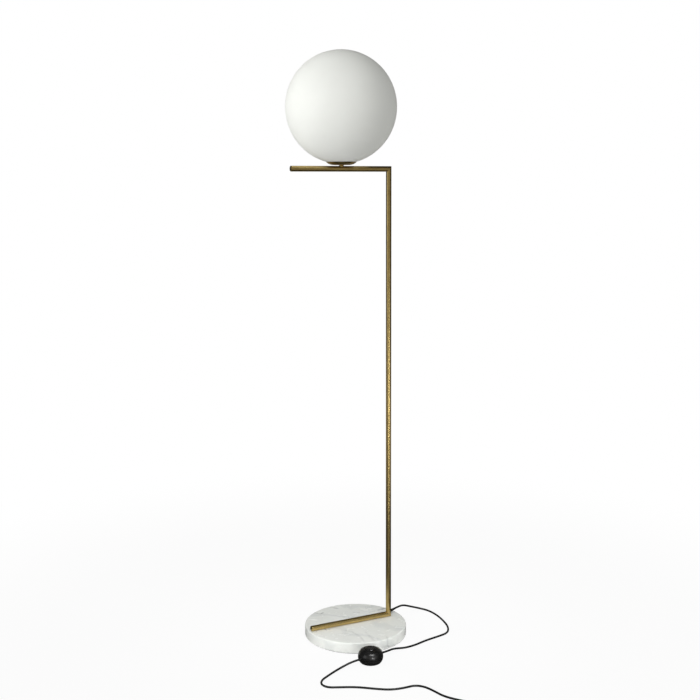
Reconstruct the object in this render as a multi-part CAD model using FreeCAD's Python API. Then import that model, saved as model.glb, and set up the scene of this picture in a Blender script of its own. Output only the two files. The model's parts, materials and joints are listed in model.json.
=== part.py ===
import FreeCAD, Part

import math
import os

# Globe floor lamp: a marble disc on the floor, a brass tube laid on it as the lower arm,
# a tall brass pole, an upper arm that carries a shallow brass dish, and an opal glass globe
# that screws down onto the dish. A foot switch sits on the mains cord.
#
# Frame: millimetres, +Z up. The origin is the middle of the marble disc, on the floor.
# Both arms lie along X over the middle of the disc, and the pole stands at +X.

V = FreeCAD.Vector
UP = V(0, 0, 1)
ALONG_X = V(1, 0, 0)

# ---------------------------------------------------------------- driving dimensions

# Base
BASE_DIAMETER = 243.0
MARBLE_THICKNESS = 25.0
MARBLE_EDGE_RADIUS = 4.0
PAD_THICKNESS = 2.0
PAD_INSET = 5.0
BOLT_X = (-72.0, 38.0)
BOLT_RADIUS = 3.0
BOLT_HOLE_RADIUS = 3.6
BOLT_POCKET_RADIUS = 11.0
BOLT_POCKET_DEPTH = 9.0

# Brass frame
TUBE_DIAMETER = 12.7
TUBE_WALL = 1.0
POLE_X = 89.5
UPPER_ARM_LENGTH = 251.0
LOWER_ARM_LENGTH = 212.5
UPPER_ARM_AXIS_Z = 1106.2
CAP_FACE = 1.6
CAP_CHAMFER = 0.5
CAP_SPIGOT = 8.0
SLEEVE_LEG = 22.0
SLEEVE_WALL = 1.2
PLAY = 0.04

# Globe and dish
GLOBE_DIAMETER = 250.0
GLASS_THICKNESS = 3.0
GLASS_HOLE_RADIUS = 26.6
GLOBE_X = -31.0
GLOBE_CENTRE_Z = 1241.9
DISH_RADIUS = 34.3
DISH_FLAT_RADIUS = 18.0
DISH_BOTTOM_Z = 1114.7
DISH_DEPTH = 6.3
DISH_SHEET = 1.0
STEM_RADIUS = 5.2
STEM_THREAD_RADIUS = 4.0
STEM_BORE_RADIUS = 2.8

# Globe thread: a collar bonded in the glass turns on a fixed cup
THREAD_RADIUS = 24.0
THREAD_PLAY = 0.08
COLLAR_WALL = 1.9
COLLAR_HEIGHT = 10.0
COLLAR_FLANGE = 1.0
COLLAR_FLANGE_RADIUS = 28.0
COLLAR_LOW_Z = 1118.3
WASHER_GAP = 0.1

# Lamp holder and bulb
HOLDER_RADIUS = 19.5
SHELL_RADIUS = 14.2
SHELL_SHEET = 0.5
BULB_CAP_RADIUS = 13.1
BULB_RADIUS = 22.5
BULB_WALL = 1.1
NUT_WIDTH = 13.0
NUT_HEIGHT = 4.0

# Leads inside the frame
LEAD_RADIUS = 0.9
LEAD_OFFSET = 1.15
LEAD_BEND = 3.0

# Cord and its exit
CORD_DIAMETER = 4.2
EXIT_Z = 38.0
EXIT_ANGLE = 27.0
RELIEF_LENGTH = 20.0
RELIEF_NECK_RADIUS = 2.9
RELIEF_TIP_RADIUS = 2.5

# Foot switch
SWITCH_X = -41.0
SWITCH_Y = -160.4
SWITCH_ANGLE = 9.0
SWITCH_RADIUS = 28.7
SWITCH_FOOT_RADIUS = 23.0
SWITCH_HEIGHT = 34.0
SWITCH_WALL = 2.0
SWITCH_PAD = 1.0
SWITCH_JOINT_Z = 13.6
SWITCH_JOINT_GAP = 0.2
SWITCH_LIP_Z = 30.6
SWITCH_LIP_RADIUS = 17.0
BUTTON_RADIUS = 12.8
BUTTON_GAP = 0.35
BUTTON_TRAVEL = 3.0
SPRING_RADIUS = 4.0
SPRING_WIRE_RADIUS = 0.4
SPRING_TURNS = 5
SPRING_TOP_Z = 24.5
MECHANISM_TOP_Z = 14.0
MECHANISM_LENGTH = 24.0
MECHANISM_WIDTH = 16.0
TAB_LENGTH = 4.0
TAB_THICKNESS = 1.0
TAB_Z = 10.0
SCREW_SPACING = 37.0
SCREW_RADIUS = 1.3
SCREW_HEAD_RADIUS = 2.8
SCREW_TOP_Z = 20.6
POST_RADIUS = 3.2
GRIP_RADIUS = 3.3
GRIP_INNER_REACH = 24.0
GRIP_TAIL_START = 30.6
GRIP_REACH = 34.5
GRIP_Z = 14.0

# Coil of the spare cord, and the plug
COIL_X = 48.0
COIL_Y = -470.5
COIL_HEADING = -46.0
COIL_MIDDLE_RADIUS = 25.0
COIL_TURNS_PER_LAYER = 3
COIL_PITCH = 4.75
GAP_SAMPLE = 1.5
TIE_THICKNESS = 0.6
TIE_WIDTH = 6.0
TIE_PLAY = 1.0
TIE_LIFT = 0.2
PLUG_RELIEF_LENGTH = 24.0
PLUG_RELIEF_RADIUS = 4.2
PLUG_EDGE_RADIUS = 2.5
PLUG_LIFT = 0.05
PIN_ROOT = 6.0
PLUG_LENGTH = 34.0
PLUG_WIDTH = 34.0
PLUG_NECK_WIDTH = 15.0
PIN_LENGTH = 19.0
PIN_RADIUS = 2.0
PIN_SPACING = 18.6

# ---------------------------------------------------------------- derived sizes

BASE_RADIUS = BASE_DIAMETER / 2
BASE_TOP = PAD_THICKNESS + MARBLE_THICKNESS
TUBE_RADIUS = TUBE_DIAMETER / 2
BORE_RADIUS = TUBE_RADIUS - TUBE_WALL
SLEEVE_RADIUS = BORE_RADIUS - PLAY
LOWER_ARM_AXIS_Z = BASE_TOP + TUBE_RADIUS
UPPER_ARM_END_X = POLE_X + TUBE_RADIUS - UPPER_ARM_LENGTH
LOWER_ARM_END_X = POLE_X + TUBE_RADIUS - LOWER_ARM_LENGTH
UPPER_ARM_TOP = UPPER_ARM_AXIS_Z + TUBE_RADIUS
BOLT_SEAT_Z = PAD_THICKNESS + BOLT_POCKET_DEPTH
GLOBE_RADIUS = GLOBE_DIAMETER / 2
GLASS_INNER_RADIUS = GLOBE_RADIUS - GLASS_THICKNESS
DISH_FLOOR_Z = DISH_BOTTOM_Z + DISH_SHEET
DISH_CURVE = ((DISH_RADIUS - DISH_FLAT_RADIUS) ** 2 + DISH_DEPTH ** 2) / (2 * DISH_DEPTH)
STEM_HOLE_RADIUS = STEM_THREAD_RADIUS + PLAY
CUP_FLOOR_Z = DISH_FLOOR_Z + 3.2
CUP_TOP_Z = DISH_FLOOR_Z + 11.0
HOLDER_LOW_Z = CUP_FLOOR_Z + NUT_HEIGHT + 0.4
HOLDER_JOINT_Z = HOLDER_LOW_Z + 15.0
CORE_TOP_Z = HOLDER_JOINT_Z + 7.0
HOLDER_TOP_Z = HOLDER_JOINT_Z + 30.0
STEM_TOP_Z = HOLDER_LOW_Z + 4.0
BULB_CAP_LOW_Z = CORE_TOP_Z + 2.6
BULB_CAP_TOP_Z = HOLDER_TOP_Z + 2.0
BULB_CENTRE_Z = BULB_CAP_TOP_Z + 27.0
CORD_RADIUS = CORD_DIAMETER / 2
COIL_LOW_Z = CORD_RADIUS + TIE_THICKNESS + TIE_LIFT
COIL_HIGH_Z = COIL_LOW_Z + COIL_PITCH
COIL_HALF_TURNS = 2 * COIL_TURNS_PER_LAYER
COIL_OUTER_RADIUS = COIL_MIDDLE_RADIUS + (COIL_HALF_TURNS - 1) * COIL_PITCH / 4


# ---------------------------------------------------------------- helpers

def write(name, shape):
    """Writes one node."""
    shape.exportStep("parts/" + name + ".step")


def rod(radius, start, direction, length):
    """A solid cylinder from a point along a direction."""
    return Part.makeCylinder(radius, length, start, direction)


def upright(radius, low, high, x=0.0, y=0.0):
    """A solid cylinder on a vertical axis."""
    return rod(radius, V(x, y, low), UP, high - low)


def ring(outer, inner, low, high, x=0.0, y=0.0):
    """A plain ring on a vertical axis."""
    return upright(outer, low, high, x, y).cut(upright(inner, low, high, x, y))


def turned(points, x=0.0, y=0.0):
    """A solid of revolution about a vertical axis.

    Each item is (radius, height), or a pair of such items: the middle and the end of an arc.
    """
    first = V(points[0][0], 0, points[0][1])
    here = first
    edges = []
    for item in points[1:]:
        if isinstance(item[0], tuple):
            middle = V(item[0][0], 0, item[0][1])
            end = V(item[1][0], 0, item[1][1])
            edges.append(Part.Arc(here, middle, end).toShape())
        else:
            end = V(item[0], 0, item[1])
            edges.append(Part.LineSegment(here, end).toShape())
        here = end
    if here.distanceToPoint(first) > 1e-6:
        edges.append(Part.LineSegment(here, first).toShape())
    solid = Part.Face(Part.Wire(edges)).revolve(V(0, 0, 0), UP, 360)
    solid.translate(V(x, y, 0))
    return solid


def hexagon(width, low, high, x, y=0.0):
    """A hexagonal prism, by its width across the flats."""
    reach = width / math.sqrt(3)
    corners = []
    for step in range(7):
        angle = math.radians(60 * step)
        corners.append(V(x + reach * math.cos(angle), y + reach * math.sin(angle), low))
    return Part.Face(Part.makePolygon(corners)).extrude(V(0, 0, high - low))


def around(angle, distance, x, y, z):
    """A point at a plan angle and distance from (x, y), at height z."""
    turn = math.radians(angle)
    return V(x + distance * math.cos(turn), y + distance * math.sin(turn), z)


def plan_direction(angle):
    """A level unit vector at a plan angle."""
    return around(angle, 1, 0, 0, 0)


def arc_from(start, tangent, end):
    """The arc that leaves start along tangent and stops at end."""
    chord = end - start
    along = V(chord)
    along.normalize()
    side = tangent - along * tangent.dot(along)
    side.normalize()
    half_turn = math.acos(max(-1.0, min(1.0, tangent.dot(along))))
    middle = (start + end) * 0.5 + side * (chord.Length / 2 * math.tan(half_turn / 2))
    return Part.Arc(start, middle, end).toShape()


def rounded_path(points, bend=None):
    """Straight runs joined by tangent arcs: of one bend radius, or as large as the runs allow."""
    corners = [V(*point) for point in points]
    edges = []
    radii = []
    here = corners[0]
    for before, corner, after in zip(corners, corners[1:], corners[2:]):
        into = corner - before
        out = after - corner
        shorter = min(into.Length, out.Length)
        into.normalize()
        out.normalize()
        half_turn = math.acos(max(-1.0, min(1.0, into.dot(out)))) / 2
        reach = 0.45 * shorter if bend is None else bend * math.tan(half_turn)
        arc_start = corner - into * reach
        arc_end = corner + out * reach
        edges.append(Part.LineSegment(here, arc_start).toShape())
        edges.append(arc_from(arc_start, into, arc_end))
        radii.append(reach / math.tan(half_turn))
        here = arc_end
    edges.append(Part.LineSegment(here, corners[-1]).toShape())
    return Part.Wire(edges), radii


def biarc(start, leaving, end, arriving):
    """Two arcs that join two points with given directions."""
    span = end - start
    both = leaving + arriving
    scale = 2 * (1 - leaving.dot(arriving))
    reach = (math.sqrt(span.dot(both) ** 2 + scale * span.dot(span)) - span.dot(both)) / scale
    middle = (start + end + (leaving - arriving) * reach) * 0.5
    return [arc_from(start, leaving, middle), arc_from(end, arriving * -1, middle)]


def swept(path, radius):
    """A round tube along a path of lines and arcs."""
    first = path.OrderedEdges[0]
    start = path.OrderedVertexes[0].Point
    at = first.Curve.parameter(start)
    section = Part.Wire(Part.Circle(start, first.tangentAt(at), radius).toShape())
    return path.makePipeShell([section], True, False)


def report_tube(name, path, tube, radius):
    """Prints a tube's length and how its volume compares with its section times its length."""
    expected = math.pi * radius ** 2 * path.Length
    print(name, "length", round(path.Length, 1), "volume ratio", round(tube.Volume / expected, 4))


# ---------------------------------------------------------------- base

def make_marble():
    disc = upright(BASE_RADIUS, PAD_THICKNESS, BASE_TOP)
    rims = [edge for edge in disc.Edges if isinstance(edge.Curve, Part.Circle)]
    disc = disc.makeFillet(MARBLE_EDGE_RADIUS, rims)
    for x in BOLT_X:
        disc = disc.cut(upright(BOLT_HOLE_RADIUS, 0, BASE_TOP + 1, x))
        disc = disc.cut(upright(BOLT_POCKET_RADIUS, 0, BOLT_SEAT_Z, x))
    return disc


def make_base_fixings():
    """Bolts, washers, and the threaded plugs inside the lower arm that the bolts screw into."""
    washer_low = BOLT_SEAT_Z - 1.6
    bolts = []
    washers = []
    plugs = []
    for x in BOLT_X:
        shank = upright(BOLT_RADIUS, washer_low, LOWER_ARM_AXIS_Z + 3.0, x)
        bolts.append(shank.fuse(hexagon(10.0, washer_low - 4.0, washer_low, x)))
        washers.append(ring(9.0, BOLT_RADIUS + PLAY, washer_low, BOLT_SEAT_Z, x))
        plug = rod(SLEEVE_RADIUS, V(x - 9, 0, LOWER_ARM_AXIS_Z), ALONG_X, 18)
        plugs.append(plug.cut(upright(BOLT_RADIUS + PLAY, BASE_TOP, BASE_TOP + TUBE_DIAMETER, x)))
    return Part.makeCompound(bolts), Part.makeCompound(washers), Part.makeCompound(plugs)


# ---------------------------------------------------------------- brass frame

def tube(start, direction, length):
    return rod(TUBE_RADIUS, start, direction, length).cut(rod(BORE_RADIUS, start, direction, length))


def arm_side(axis_z, outward):
    """All that lies on the arm's side of the mitre where an arm meets the pole."""
    far = 300.0
    corner = V(POLE_X, -50, axis_z)
    outline = [
        corner + V(-far, 0, -outward * far),
        corner + V(far, 0, outward * far),
        corner + V(-far, 0, outward * far),
        corner + V(-far, 0, -outward * far),
    ]
    return Part.Face(Part.makePolygon(outline)).extrude(V(0, 100, 0))


def make_tubes():
    """Upper arm, pole and lower arm, mitred where they meet and drilled for what they hold."""
    above = arm_side(UPPER_ARM_AXIS_Z, 1)
    below = arm_side(LOWER_ARM_AXIS_Z, -1)
    upper = tube(V(UPPER_ARM_END_X + CAP_FACE, 0, UPPER_ARM_AXIS_Z), ALONG_X, UPPER_ARM_LENGTH - CAP_FACE)
    upper = upper.common(above).cut(upright(STEM_HOLE_RADIUS, UPPER_ARM_AXIS_Z, UPPER_ARM_TOP + 1, GLOBE_X))
    lower = tube(V(LOWER_ARM_END_X + CAP_FACE, 0, LOWER_ARM_AXIS_Z), ALONG_X, LOWER_ARM_LENGTH - CAP_FACE)
    lower = lower.common(below)
    for x in BOLT_X:
        lower = lower.cut(upright(BOLT_RADIUS + 0.2, BASE_TOP - 1, LOWER_ARM_AXIS_Z, x))
    pole = tube(V(POLE_X, 0, BASE_TOP), UP, UPPER_ARM_TOP - BASE_TOP)
    pole = pole.cut(above).cut(below).cut(exit_hole())
    return upper, pole, lower


def exit_hole():
    return rod(RELIEF_NECK_RADIUS + PLAY, V(POLE_X, 0, EXIT_Z), plan_direction(EXIT_ANGLE), 15)


def make_sleeve(axis_z, outward):
    """An elbow sleeve brazed inside a mitred corner, hollow for the leads."""
    corner = V(POLE_X, 0, axis_z)
    inner = SLEEVE_RADIUS - SLEEVE_WALL

    def elbow(radius, reach):
        legs = rod(radius, corner, ALONG_X * -1, reach).fuse(rod(radius, corner, UP * -outward, reach))
        return legs.fuse(Part.makeSphere(radius, corner))

    return elbow(SLEEVE_RADIUS, SLEEVE_LEG).cut(elbow(inner, SLEEVE_LEG + 1))


def make_end_cap(end_x, axis_z):
    """A turned cap, chamfered, with a spigot in the arm's open end."""
    spigot = rod(SLEEVE_RADIUS, V(end_x + CAP_FACE, 0, axis_z), ALONG_X, CAP_SPIGOT)
    face = rod(TUBE_RADIUS, V(end_x + CAP_CHAMFER, 0, axis_z), ALONG_X, CAP_FACE - CAP_CHAMFER)
    nose = Part.makeCone(TUBE_RADIUS - CAP_CHAMFER, TUBE_RADIUS, CAP_CHAMFER, V(end_x, 0, axis_z), ALONG_X)
    return nose.fuse(face).fuse(spigot).removeSplitter()


def make_stem():
    """The stem that carries the dish: a saddle foot, a shoulder, and a thread at each end."""
    foot_z = UPPER_ARM_AXIS_Z + 1.0
    shoulder = upright(STEM_RADIUS, UPPER_ARM_AXIS_Z, DISH_BOTTOM_Z, GLOBE_X)
    shoulder = shoulder.cut(rod(TUBE_RADIUS, V(GLOBE_X - 20, 0, UPPER_ARM_AXIS_Z), ALONG_X, 40))
    stem = shoulder.fuse(upright(STEM_THREAD_RADIUS, foot_z, STEM_TOP_Z, GLOBE_X))
    return stem.cut(upright(STEM_BORE_RADIUS, foot_z - 1, STEM_TOP_Z + 1, GLOBE_X))


def make_stem_anchor():
    """A plug inside the upper arm, bored along for the leads and tapped for the stem."""
    plug = rod(SLEEVE_RADIUS, V(GLOBE_X - 12, 0, UPPER_ARM_AXIS_Z), ALONG_X, 24)
    plug = plug.cut(rod(STEM_BORE_RADIUS, V(GLOBE_X - 2, 0, UPPER_ARM_AXIS_Z), ALONG_X, 20))
    plug = plug.cut(upright(STEM_BORE_RADIUS, UPPER_ARM_AXIS_Z - 1, UPPER_ARM_AXIS_Z + 2, GLOBE_X))
    return plug.cut(upright(STEM_HOLE_RADIUS, UPPER_ARM_AXIS_Z + 0.9, UPPER_ARM_TOP, GLOBE_X))


# ---------------------------------------------------------------- dish and globe

def dish_height(radius, sheet):
    """Height of the dish's curved part: its outside at sheet 0, its inside at the full sheet."""
    reach = DISH_CURVE - sheet
    return DISH_BOTTOM_Z + DISH_CURVE - math.sqrt(reach ** 2 - (radius - DISH_FLAT_RADIUS) ** 2)


def globe_underside(radius, sphere_radius):
    """Height of the underside of a sphere on the globe's centre, at a radius."""
    return GLOBE_CENTRE_Z - math.sqrt(sphere_radius ** 2 - radius ** 2)


def make_dish():
    reach = DISH_CURVE - DISH_SHEET
    rim_in = DISH_FLAT_RADIUS + math.sqrt(reach ** 2 - (DISH_CURVE - DISH_DEPTH) ** 2)
    outside = (DISH_FLAT_RADIUS + DISH_RADIUS) / 2
    inside = (DISH_FLAT_RADIUS + rim_in) / 2
    return turned([
        (STEM_HOLE_RADIUS, DISH_BOTTOM_Z),
        (DISH_FLAT_RADIUS, DISH_BOTTOM_Z),
        ((outside, dish_height(outside, 0)), (DISH_RADIUS, dish_height(DISH_RADIUS, 0))),
        (rim_in, dish_height(rim_in, DISH_SHEET)),
        ((inside, dish_height(inside, DISH_SHEET)), (DISH_FLAT_RADIUS, DISH_FLOOR_Z)),
        (STEM_HOLE_RADIUS, DISH_FLOOR_Z),
    ], GLOBE_X)


def make_globe():
    return turned([
        (GLASS_HOLE_RADIUS, globe_underside(GLASS_HOLE_RADIUS, GLOBE_RADIUS)),
        ((GLOBE_RADIUS, GLOBE_CENTRE_Z), (0, GLOBE_CENTRE_Z + GLOBE_RADIUS)),
        (0, GLOBE_CENTRE_Z + GLASS_INNER_RADIUS),
        ((GLASS_INNER_RADIUS, GLOBE_CENTRE_Z),
         (GLASS_HOLE_RADIUS, globe_underside(GLASS_HOLE_RADIUS, GLASS_INNER_RADIUS))),
    ], GLOBE_X)


def make_globe_fittings():
    """The collar in the glass, its silicone bond, the washer, and the fixed threaded cup."""
    outer = THREAD_RADIUS + COLLAR_WALL
    flange_top = COLLAR_LOW_Z + COLLAR_FLANGE
    collar = ring(outer, THREAD_RADIUS, COLLAR_LOW_Z, COLLAR_LOW_Z + COLLAR_HEIGHT, GLOBE_X)
    collar = collar.fuse(ring(COLLAR_FLANGE_RADIUS, THREAD_RADIUS, COLLAR_LOW_Z, flange_top, GLOBE_X))
    bond_out = GLASS_HOLE_RADIUS - PLAY
    lip = COLLAR_FLANGE_RADIUS - 0.1
    glass_inside = globe_underside(bond_out, GLASS_INNER_RADIUS)
    bond = turned([
        (outer + PLAY, flange_top + PLAY),
        (lip, flange_top + PLAY),
        (lip, globe_underside(lip, GLOBE_RADIUS) - PLAY),
        (bond_out, globe_underside(bond_out, GLOBE_RADIUS) - PLAY),
        (bond_out, glass_inside),
        (outer + PLAY, glass_inside),
    ], GLOBE_X)
    washer_in = THREAD_RADIUS + 0.3
    washer_out = COLLAR_FLANGE_RADIUS - 0.8
    washer = turned([
        (washer_in, dish_height(washer_in, DISH_SHEET) + 3 * PLAY),
        (washer_out, dish_height(washer_out, DISH_SHEET) + 3 * PLAY),
        (washer_out, COLLAR_LOW_Z - WASHER_GAP),
        (washer_in, COLLAR_LOW_Z - WASHER_GAP),
    ], GLOBE_X)
    cup_out = THREAD_RADIUS - THREAD_PLAY
    cup = turned([
        (STEM_HOLE_RADIUS, DISH_FLOOR_Z),
        (DISH_FLAT_RADIUS - 0.5, DISH_FLOOR_Z),
        (cup_out, DISH_FLOOR_Z + 2.6),
        (cup_out, CUP_TOP_Z),
        (cup_out - 3.0, CUP_TOP_Z),
        (cup_out - 3.0, CUP_FLOOR_Z),
        (STEM_HOLE_RADIUS, CUP_FLOOR_Z),
    ], GLOBE_X)
    return collar, bond, washer, cup


# ---------------------------------------------------------------- lamp holder and bulb

def make_holder():
    """The lamp holder's cap, skirt, core, screw shell, contact, terminals, and the stem's nut."""
    cap_out = HOLDER_RADIUS - 2.0
    cap = turned([
        (STEM_HOLE_RADIUS, HOLDER_LOW_Z),
        (12.0, HOLDER_LOW_Z),
        ((16.2, HOLDER_LOW_Z + 2.0), (cap_out, HOLDER_LOW_Z + 6.0)),
        (cap_out, HOLDER_JOINT_Z),
        (cap_out - 2.0, HOLDER_JOINT_Z),
        (cap_out - 2.0, HOLDER_LOW_Z + 7.0),
        (9.0, HOLDER_LOW_Z + 3.0),
        (STEM_HOLE_RADIUS, HOLDER_LOW_Z + 3.0),
    ], GLOBE_X)
    skirt_in = SHELL_RADIUS + 0.3
    skirt_low = HOLDER_JOINT_Z + 0.1
    step_z = CORE_TOP_Z + 0.1
    skirt = turned([
        (16.6, skirt_low),
        (HOLDER_RADIUS, skirt_low),
        (HOLDER_RADIUS, HOLDER_TOP_Z - 1.2),
        (HOLDER_RADIUS - 1.2, HOLDER_TOP_Z),
        (skirt_in, HOLDER_TOP_Z),
        (skirt_in, step_z),
        (16.6, step_z),
    ], GLOBE_X)
    core = upright(16.4, HOLDER_JOINT_Z + 0.2, CORE_TOP_Z, GLOBE_X)
    terminals = []
    for side in (-1, 1):
        core = core.cut(upright(1.6, HOLDER_JOINT_Z, HOLDER_JOINT_Z + 4.2, GLOBE_X, side * 9.0))
        terminals.append(upright(1.5, HOLDER_JOINT_Z + 0.3, HOLDER_JOINT_Z + 3.9, GLOBE_X, side * 9.0))
    shell = ring(SHELL_RADIUS, SHELL_RADIUS - SHELL_SHEET, step_z, HOLDER_TOP_Z - 1.0, GLOBE_X)
    tongue = Part.makeBox(9.0, 4.0, 0.4, V(GLOBE_X - 6.5, -2.0, step_z))
    contact = tongue.fuse(upright(1.6, step_z, step_z + 1.2, GLOBE_X))
    nut = hexagon(NUT_WIDTH, CUP_FLOOR_Z, CUP_FLOOR_Z + NUT_HEIGHT, GLOBE_X)
    nut = nut.cut(upright(STEM_HOLE_RADIUS, CUP_FLOOR_Z, CUP_FLOOR_Z + NUT_HEIGHT, GLOBE_X))
    return cap, skirt, core, shell, contact, Part.makeCompound(terminals), nut


def make_bulb():
    """A ball bulb: frosted glass, screw cap and end contact."""
    neck = BULB_CAP_RADIUS + 0.4
    waist = 15.0
    inside = BULB_RADIUS - BULB_WALL
    waist_drop = math.sqrt(BULB_RADIUS ** 2 - waist ** 2)
    glass = turned([
        (neck, BULB_CAP_TOP_Z),
        (neck, BULB_CAP_TOP_Z + 4.0),
        (waist, BULB_CENTRE_Z - waist_drop),
        ((BULB_RADIUS, BULB_CENTRE_Z), (0, BULB_CENTRE_Z + BULB_RADIUS)),
        (0, BULB_CENTRE_Z + inside),
        ((inside, BULB_CENTRE_Z), (waist - BULB_WALL, BULB_CENTRE_Z - waist_drop + 0.2)),
        (neck - BULB_WALL, BULB_CAP_TOP_Z + 4.0),
        (neck - BULB_WALL, BULB_CAP_TOP_Z),
    ], GLOBE_X)
    cap = turned([
        (0, BULB_CAP_LOW_Z),
        (9.5, BULB_CAP_LOW_Z),
        (BULB_CAP_RADIUS, BULB_CAP_LOW_Z + 4.0),
        (BULB_CAP_RADIUS, BULB_CAP_TOP_Z),
        (0, BULB_CAP_TOP_Z),
    ], GLOBE_X)
    contact = upright(3.5, CORE_TOP_Z + 1.3, BULB_CAP_LOW_Z, GLOBE_X)
    return glass, cap, contact


def make_leads():
    """Two insulated leads through the pole, the upper arm and the stem to the terminals."""
    leads = []
    for side in (-1, 1):
        y = side * LEAD_OFFSET
        path, _ = rounded_path([
            (POLE_X, y, EXIT_Z - 1.0),
            (POLE_X, y, UPPER_ARM_AXIS_Z),
            (GLOBE_X, y, UPPER_ARM_AXIS_Z),
            (GLOBE_X, y, HOLDER_LOW_Z + 5.0),
            (GLOBE_X, side * 9.0, HOLDER_JOINT_Z - 2.0),
            (GLOBE_X, side * 9.0, HOLDER_JOINT_Z + 0.3),
        ], LEAD_BEND)
        leads.append(swept(path, LEAD_RADIUS))
    return Part.makeCompound(leads)


# ---------------------------------------------------------------- cord

def exit_point(distance):
    """A point on the line along which the cord leaves the pole."""
    return around(EXIT_ANGLE, TUBE_RADIUS + distance, POLE_X, 0, EXIT_Z)


def grip_point(side, distance):
    """A point on the line along which the cord leaves one side of the foot switch."""
    return around(SWITCH_ANGLE, side * (GRIP_REACH + distance), SWITCH_X, SWITCH_Y, GRIP_Z)


def coil_start(distance):
    """A point on the line along which the cord runs into the coil."""
    first = around(COIL_HEADING + 90, COIL_OUTER_RADIUS, COIL_X, COIL_Y, COIL_LOW_Z)
    return first - around(COIL_HEADING, CORD_DIAMETER + distance, 0, 0, 0)


def make_strain_relief():
    """A rubber strain relief: a neck through the pole's wall, a head and a tapered tail."""
    direction = plan_direction(EXIT_ANGLE)
    neck_start = around(EXIT_ANGLE, 3.0, POLE_X, 0, EXIT_Z)
    head = rod(4.0, exit_point(-1.6), direction, 3.0)
    head = head.cut(upright(TUBE_RADIUS, EXIT_Z - 10, EXIT_Z + 10, POLE_X))
    neck = rod(RELIEF_NECK_RADIUS, neck_start, direction, TUBE_RADIUS - 3.0 + 1.2)
    tail = Part.makeCone(3.5, RELIEF_TIP_RADIUS, RELIEF_LENGTH - 1.2, exit_point(1.2), direction)
    return head.fuse(neck).fuse(tail)


# Routes along the floor, from the pole to the foot switch and on to the coil
FLOOR_Z = CORD_RADIUS

LAMP_ROUTE = [
    exit_point(RELIEF_LENGTH),
    exit_point(RELIEF_LENGTH + 14.6),
    (150, 36, 32),
    (177, 49, 19),
    (204, 56, 7.5),
    (226, 41, FLOOR_Z),
    (230, 6, FLOOR_Z),
    (226, -34, FLOOR_Z),
    (217, -72, FLOOR_Z),
    (198, -102, FLOOR_Z),
    (166, -110, FLOOR_Z),
    (128, -117, FLOOR_Z),
    (92, -129, FLOOR_Z),
    (63, -132, FLOOR_Z),
    (43, -130, 4.3),
    (24, -140, 9.8),
    grip_point(1, 15),
    grip_point(1, 0),
]

PLUG_ROUTE = [
    grip_point(-1, 0),
    grip_point(-1, 14),
    (-108, -167, 8.5),
    (-132, -170, FLOOR_Z + 0.2),
    (-158, -185, FLOOR_Z),
    (-181, -199.5, FLOOR_Z),
    (-190.3, -218.2, FLOOR_Z),
    (-183.3, -237.2, FLOOR_Z),
    (-159, -247.7, FLOOR_Z),
    (-126, -263, FLOOR_Z),
    (-95, -288, FLOOR_Z),
    (-67, -307, FLOOR_Z),
    (-37, -312, FLOOR_Z),
    (-11, -311, FLOOR_Z),
    (5, -326, FLOOR_Z),
    (13, -353, FLOOR_Z),
    (19, -384, FLOOR_Z),
    coil_start(36),
    coil_start(0),
]


def make_cord(name, route):
    """A free stretch of the cord."""
    path, radii = rounded_path(route)
    print(name, "bend radii", [round(radius) for radius in radii])
    solid = swept(path, CORD_RADIUS)
    report_tube(name, path, solid, CORD_RADIUS)
    return solid


# ---------------------------------------------------------------- coil, tie and plug

def make_coil_path():
    """The spare cord: a spiral in on the floor, a climb at the middle, and a spiral out on top."""
    heading = plan_direction(COIL_HEADING)
    outward = plan_direction(COIL_HEADING + 90)
    here = coil_start(-CORD_DIAMETER)
    edges = [Part.LineSegment(coil_start(0), here).toShape()]
    step = COIL_PITCH / 2
    spiral = [COIL_OUTER_RADIUS - step * turn for turn in range(COIL_HALF_TURNS)]
    climb = COIL_OUTER_RADIUS - step * COIL_HALF_TURNS
    side = 1
    for radius in spiral + [climb] + spiral[::-1]:
        there = here - outward * (2 * radius * side)
        if radius == climb:
            there.z = COIL_HIGH_Z
        edges += biarc(here, heading * side, there, heading * -side)
        here = there
        side = -side
    end = here + heading * (side * CORD_DIAMETER)
    edges.append(Part.LineSegment(here, end).toShape())
    return Part.Wire(edges), end


def least_gap(path, radius):
    """The least gap between a tube's passes, measured on points along its path."""
    count = int(path.Length / GAP_SAMPLE)
    points = path.discretize(count)
    apart = int(8 * radius / GAP_SAMPLE)
    least = min(points[i].distanceToPoint(points[j])
                for i in range(len(points)) for j in range(i + apart, len(points)))
    return least - 2 * radius


def make_coil():
    path, end = make_coil_path()
    solid = swept(path, CORD_RADIUS)
    report_tube("cord_coil", path, solid, CORD_RADIUS)
    print("cord_coil least gap to itself", round(least_gap(path, CORD_RADIUS), 2))
    return solid, end


def make_tie():
    """A flat tie round the coil's turns, at the back of the coil."""
    step = COIL_PITCH / 2
    inner = COIL_OUTER_RADIUS - step * (COIL_HALF_TURNS - 1) - CORD_RADIUS - TIE_PLAY
    outer = COIL_OUTER_RADIUS - step + CORD_RADIUS + TIE_PLAY
    wall = TIE_THICKNESS
    top = COIL_HIGH_Z + CORD_RADIUS + TIE_LIFT
    corner = V(inner - wall, -TIE_WIDTH / 2, 0)
    band = Part.makeBox(outer - inner + 2 * wall, TIE_WIDTH, top + wall, corner)
    band = band.cut(Part.makeBox(outer - inner, TIE_WIDTH, top - wall, corner + V(wall, 0, wall)))
    band.rotate(V(0, 0, 0), UP, COIL_HEADING + 180)
    band.translate(V(COIL_X, COIL_Y, 0))
    return band


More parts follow.
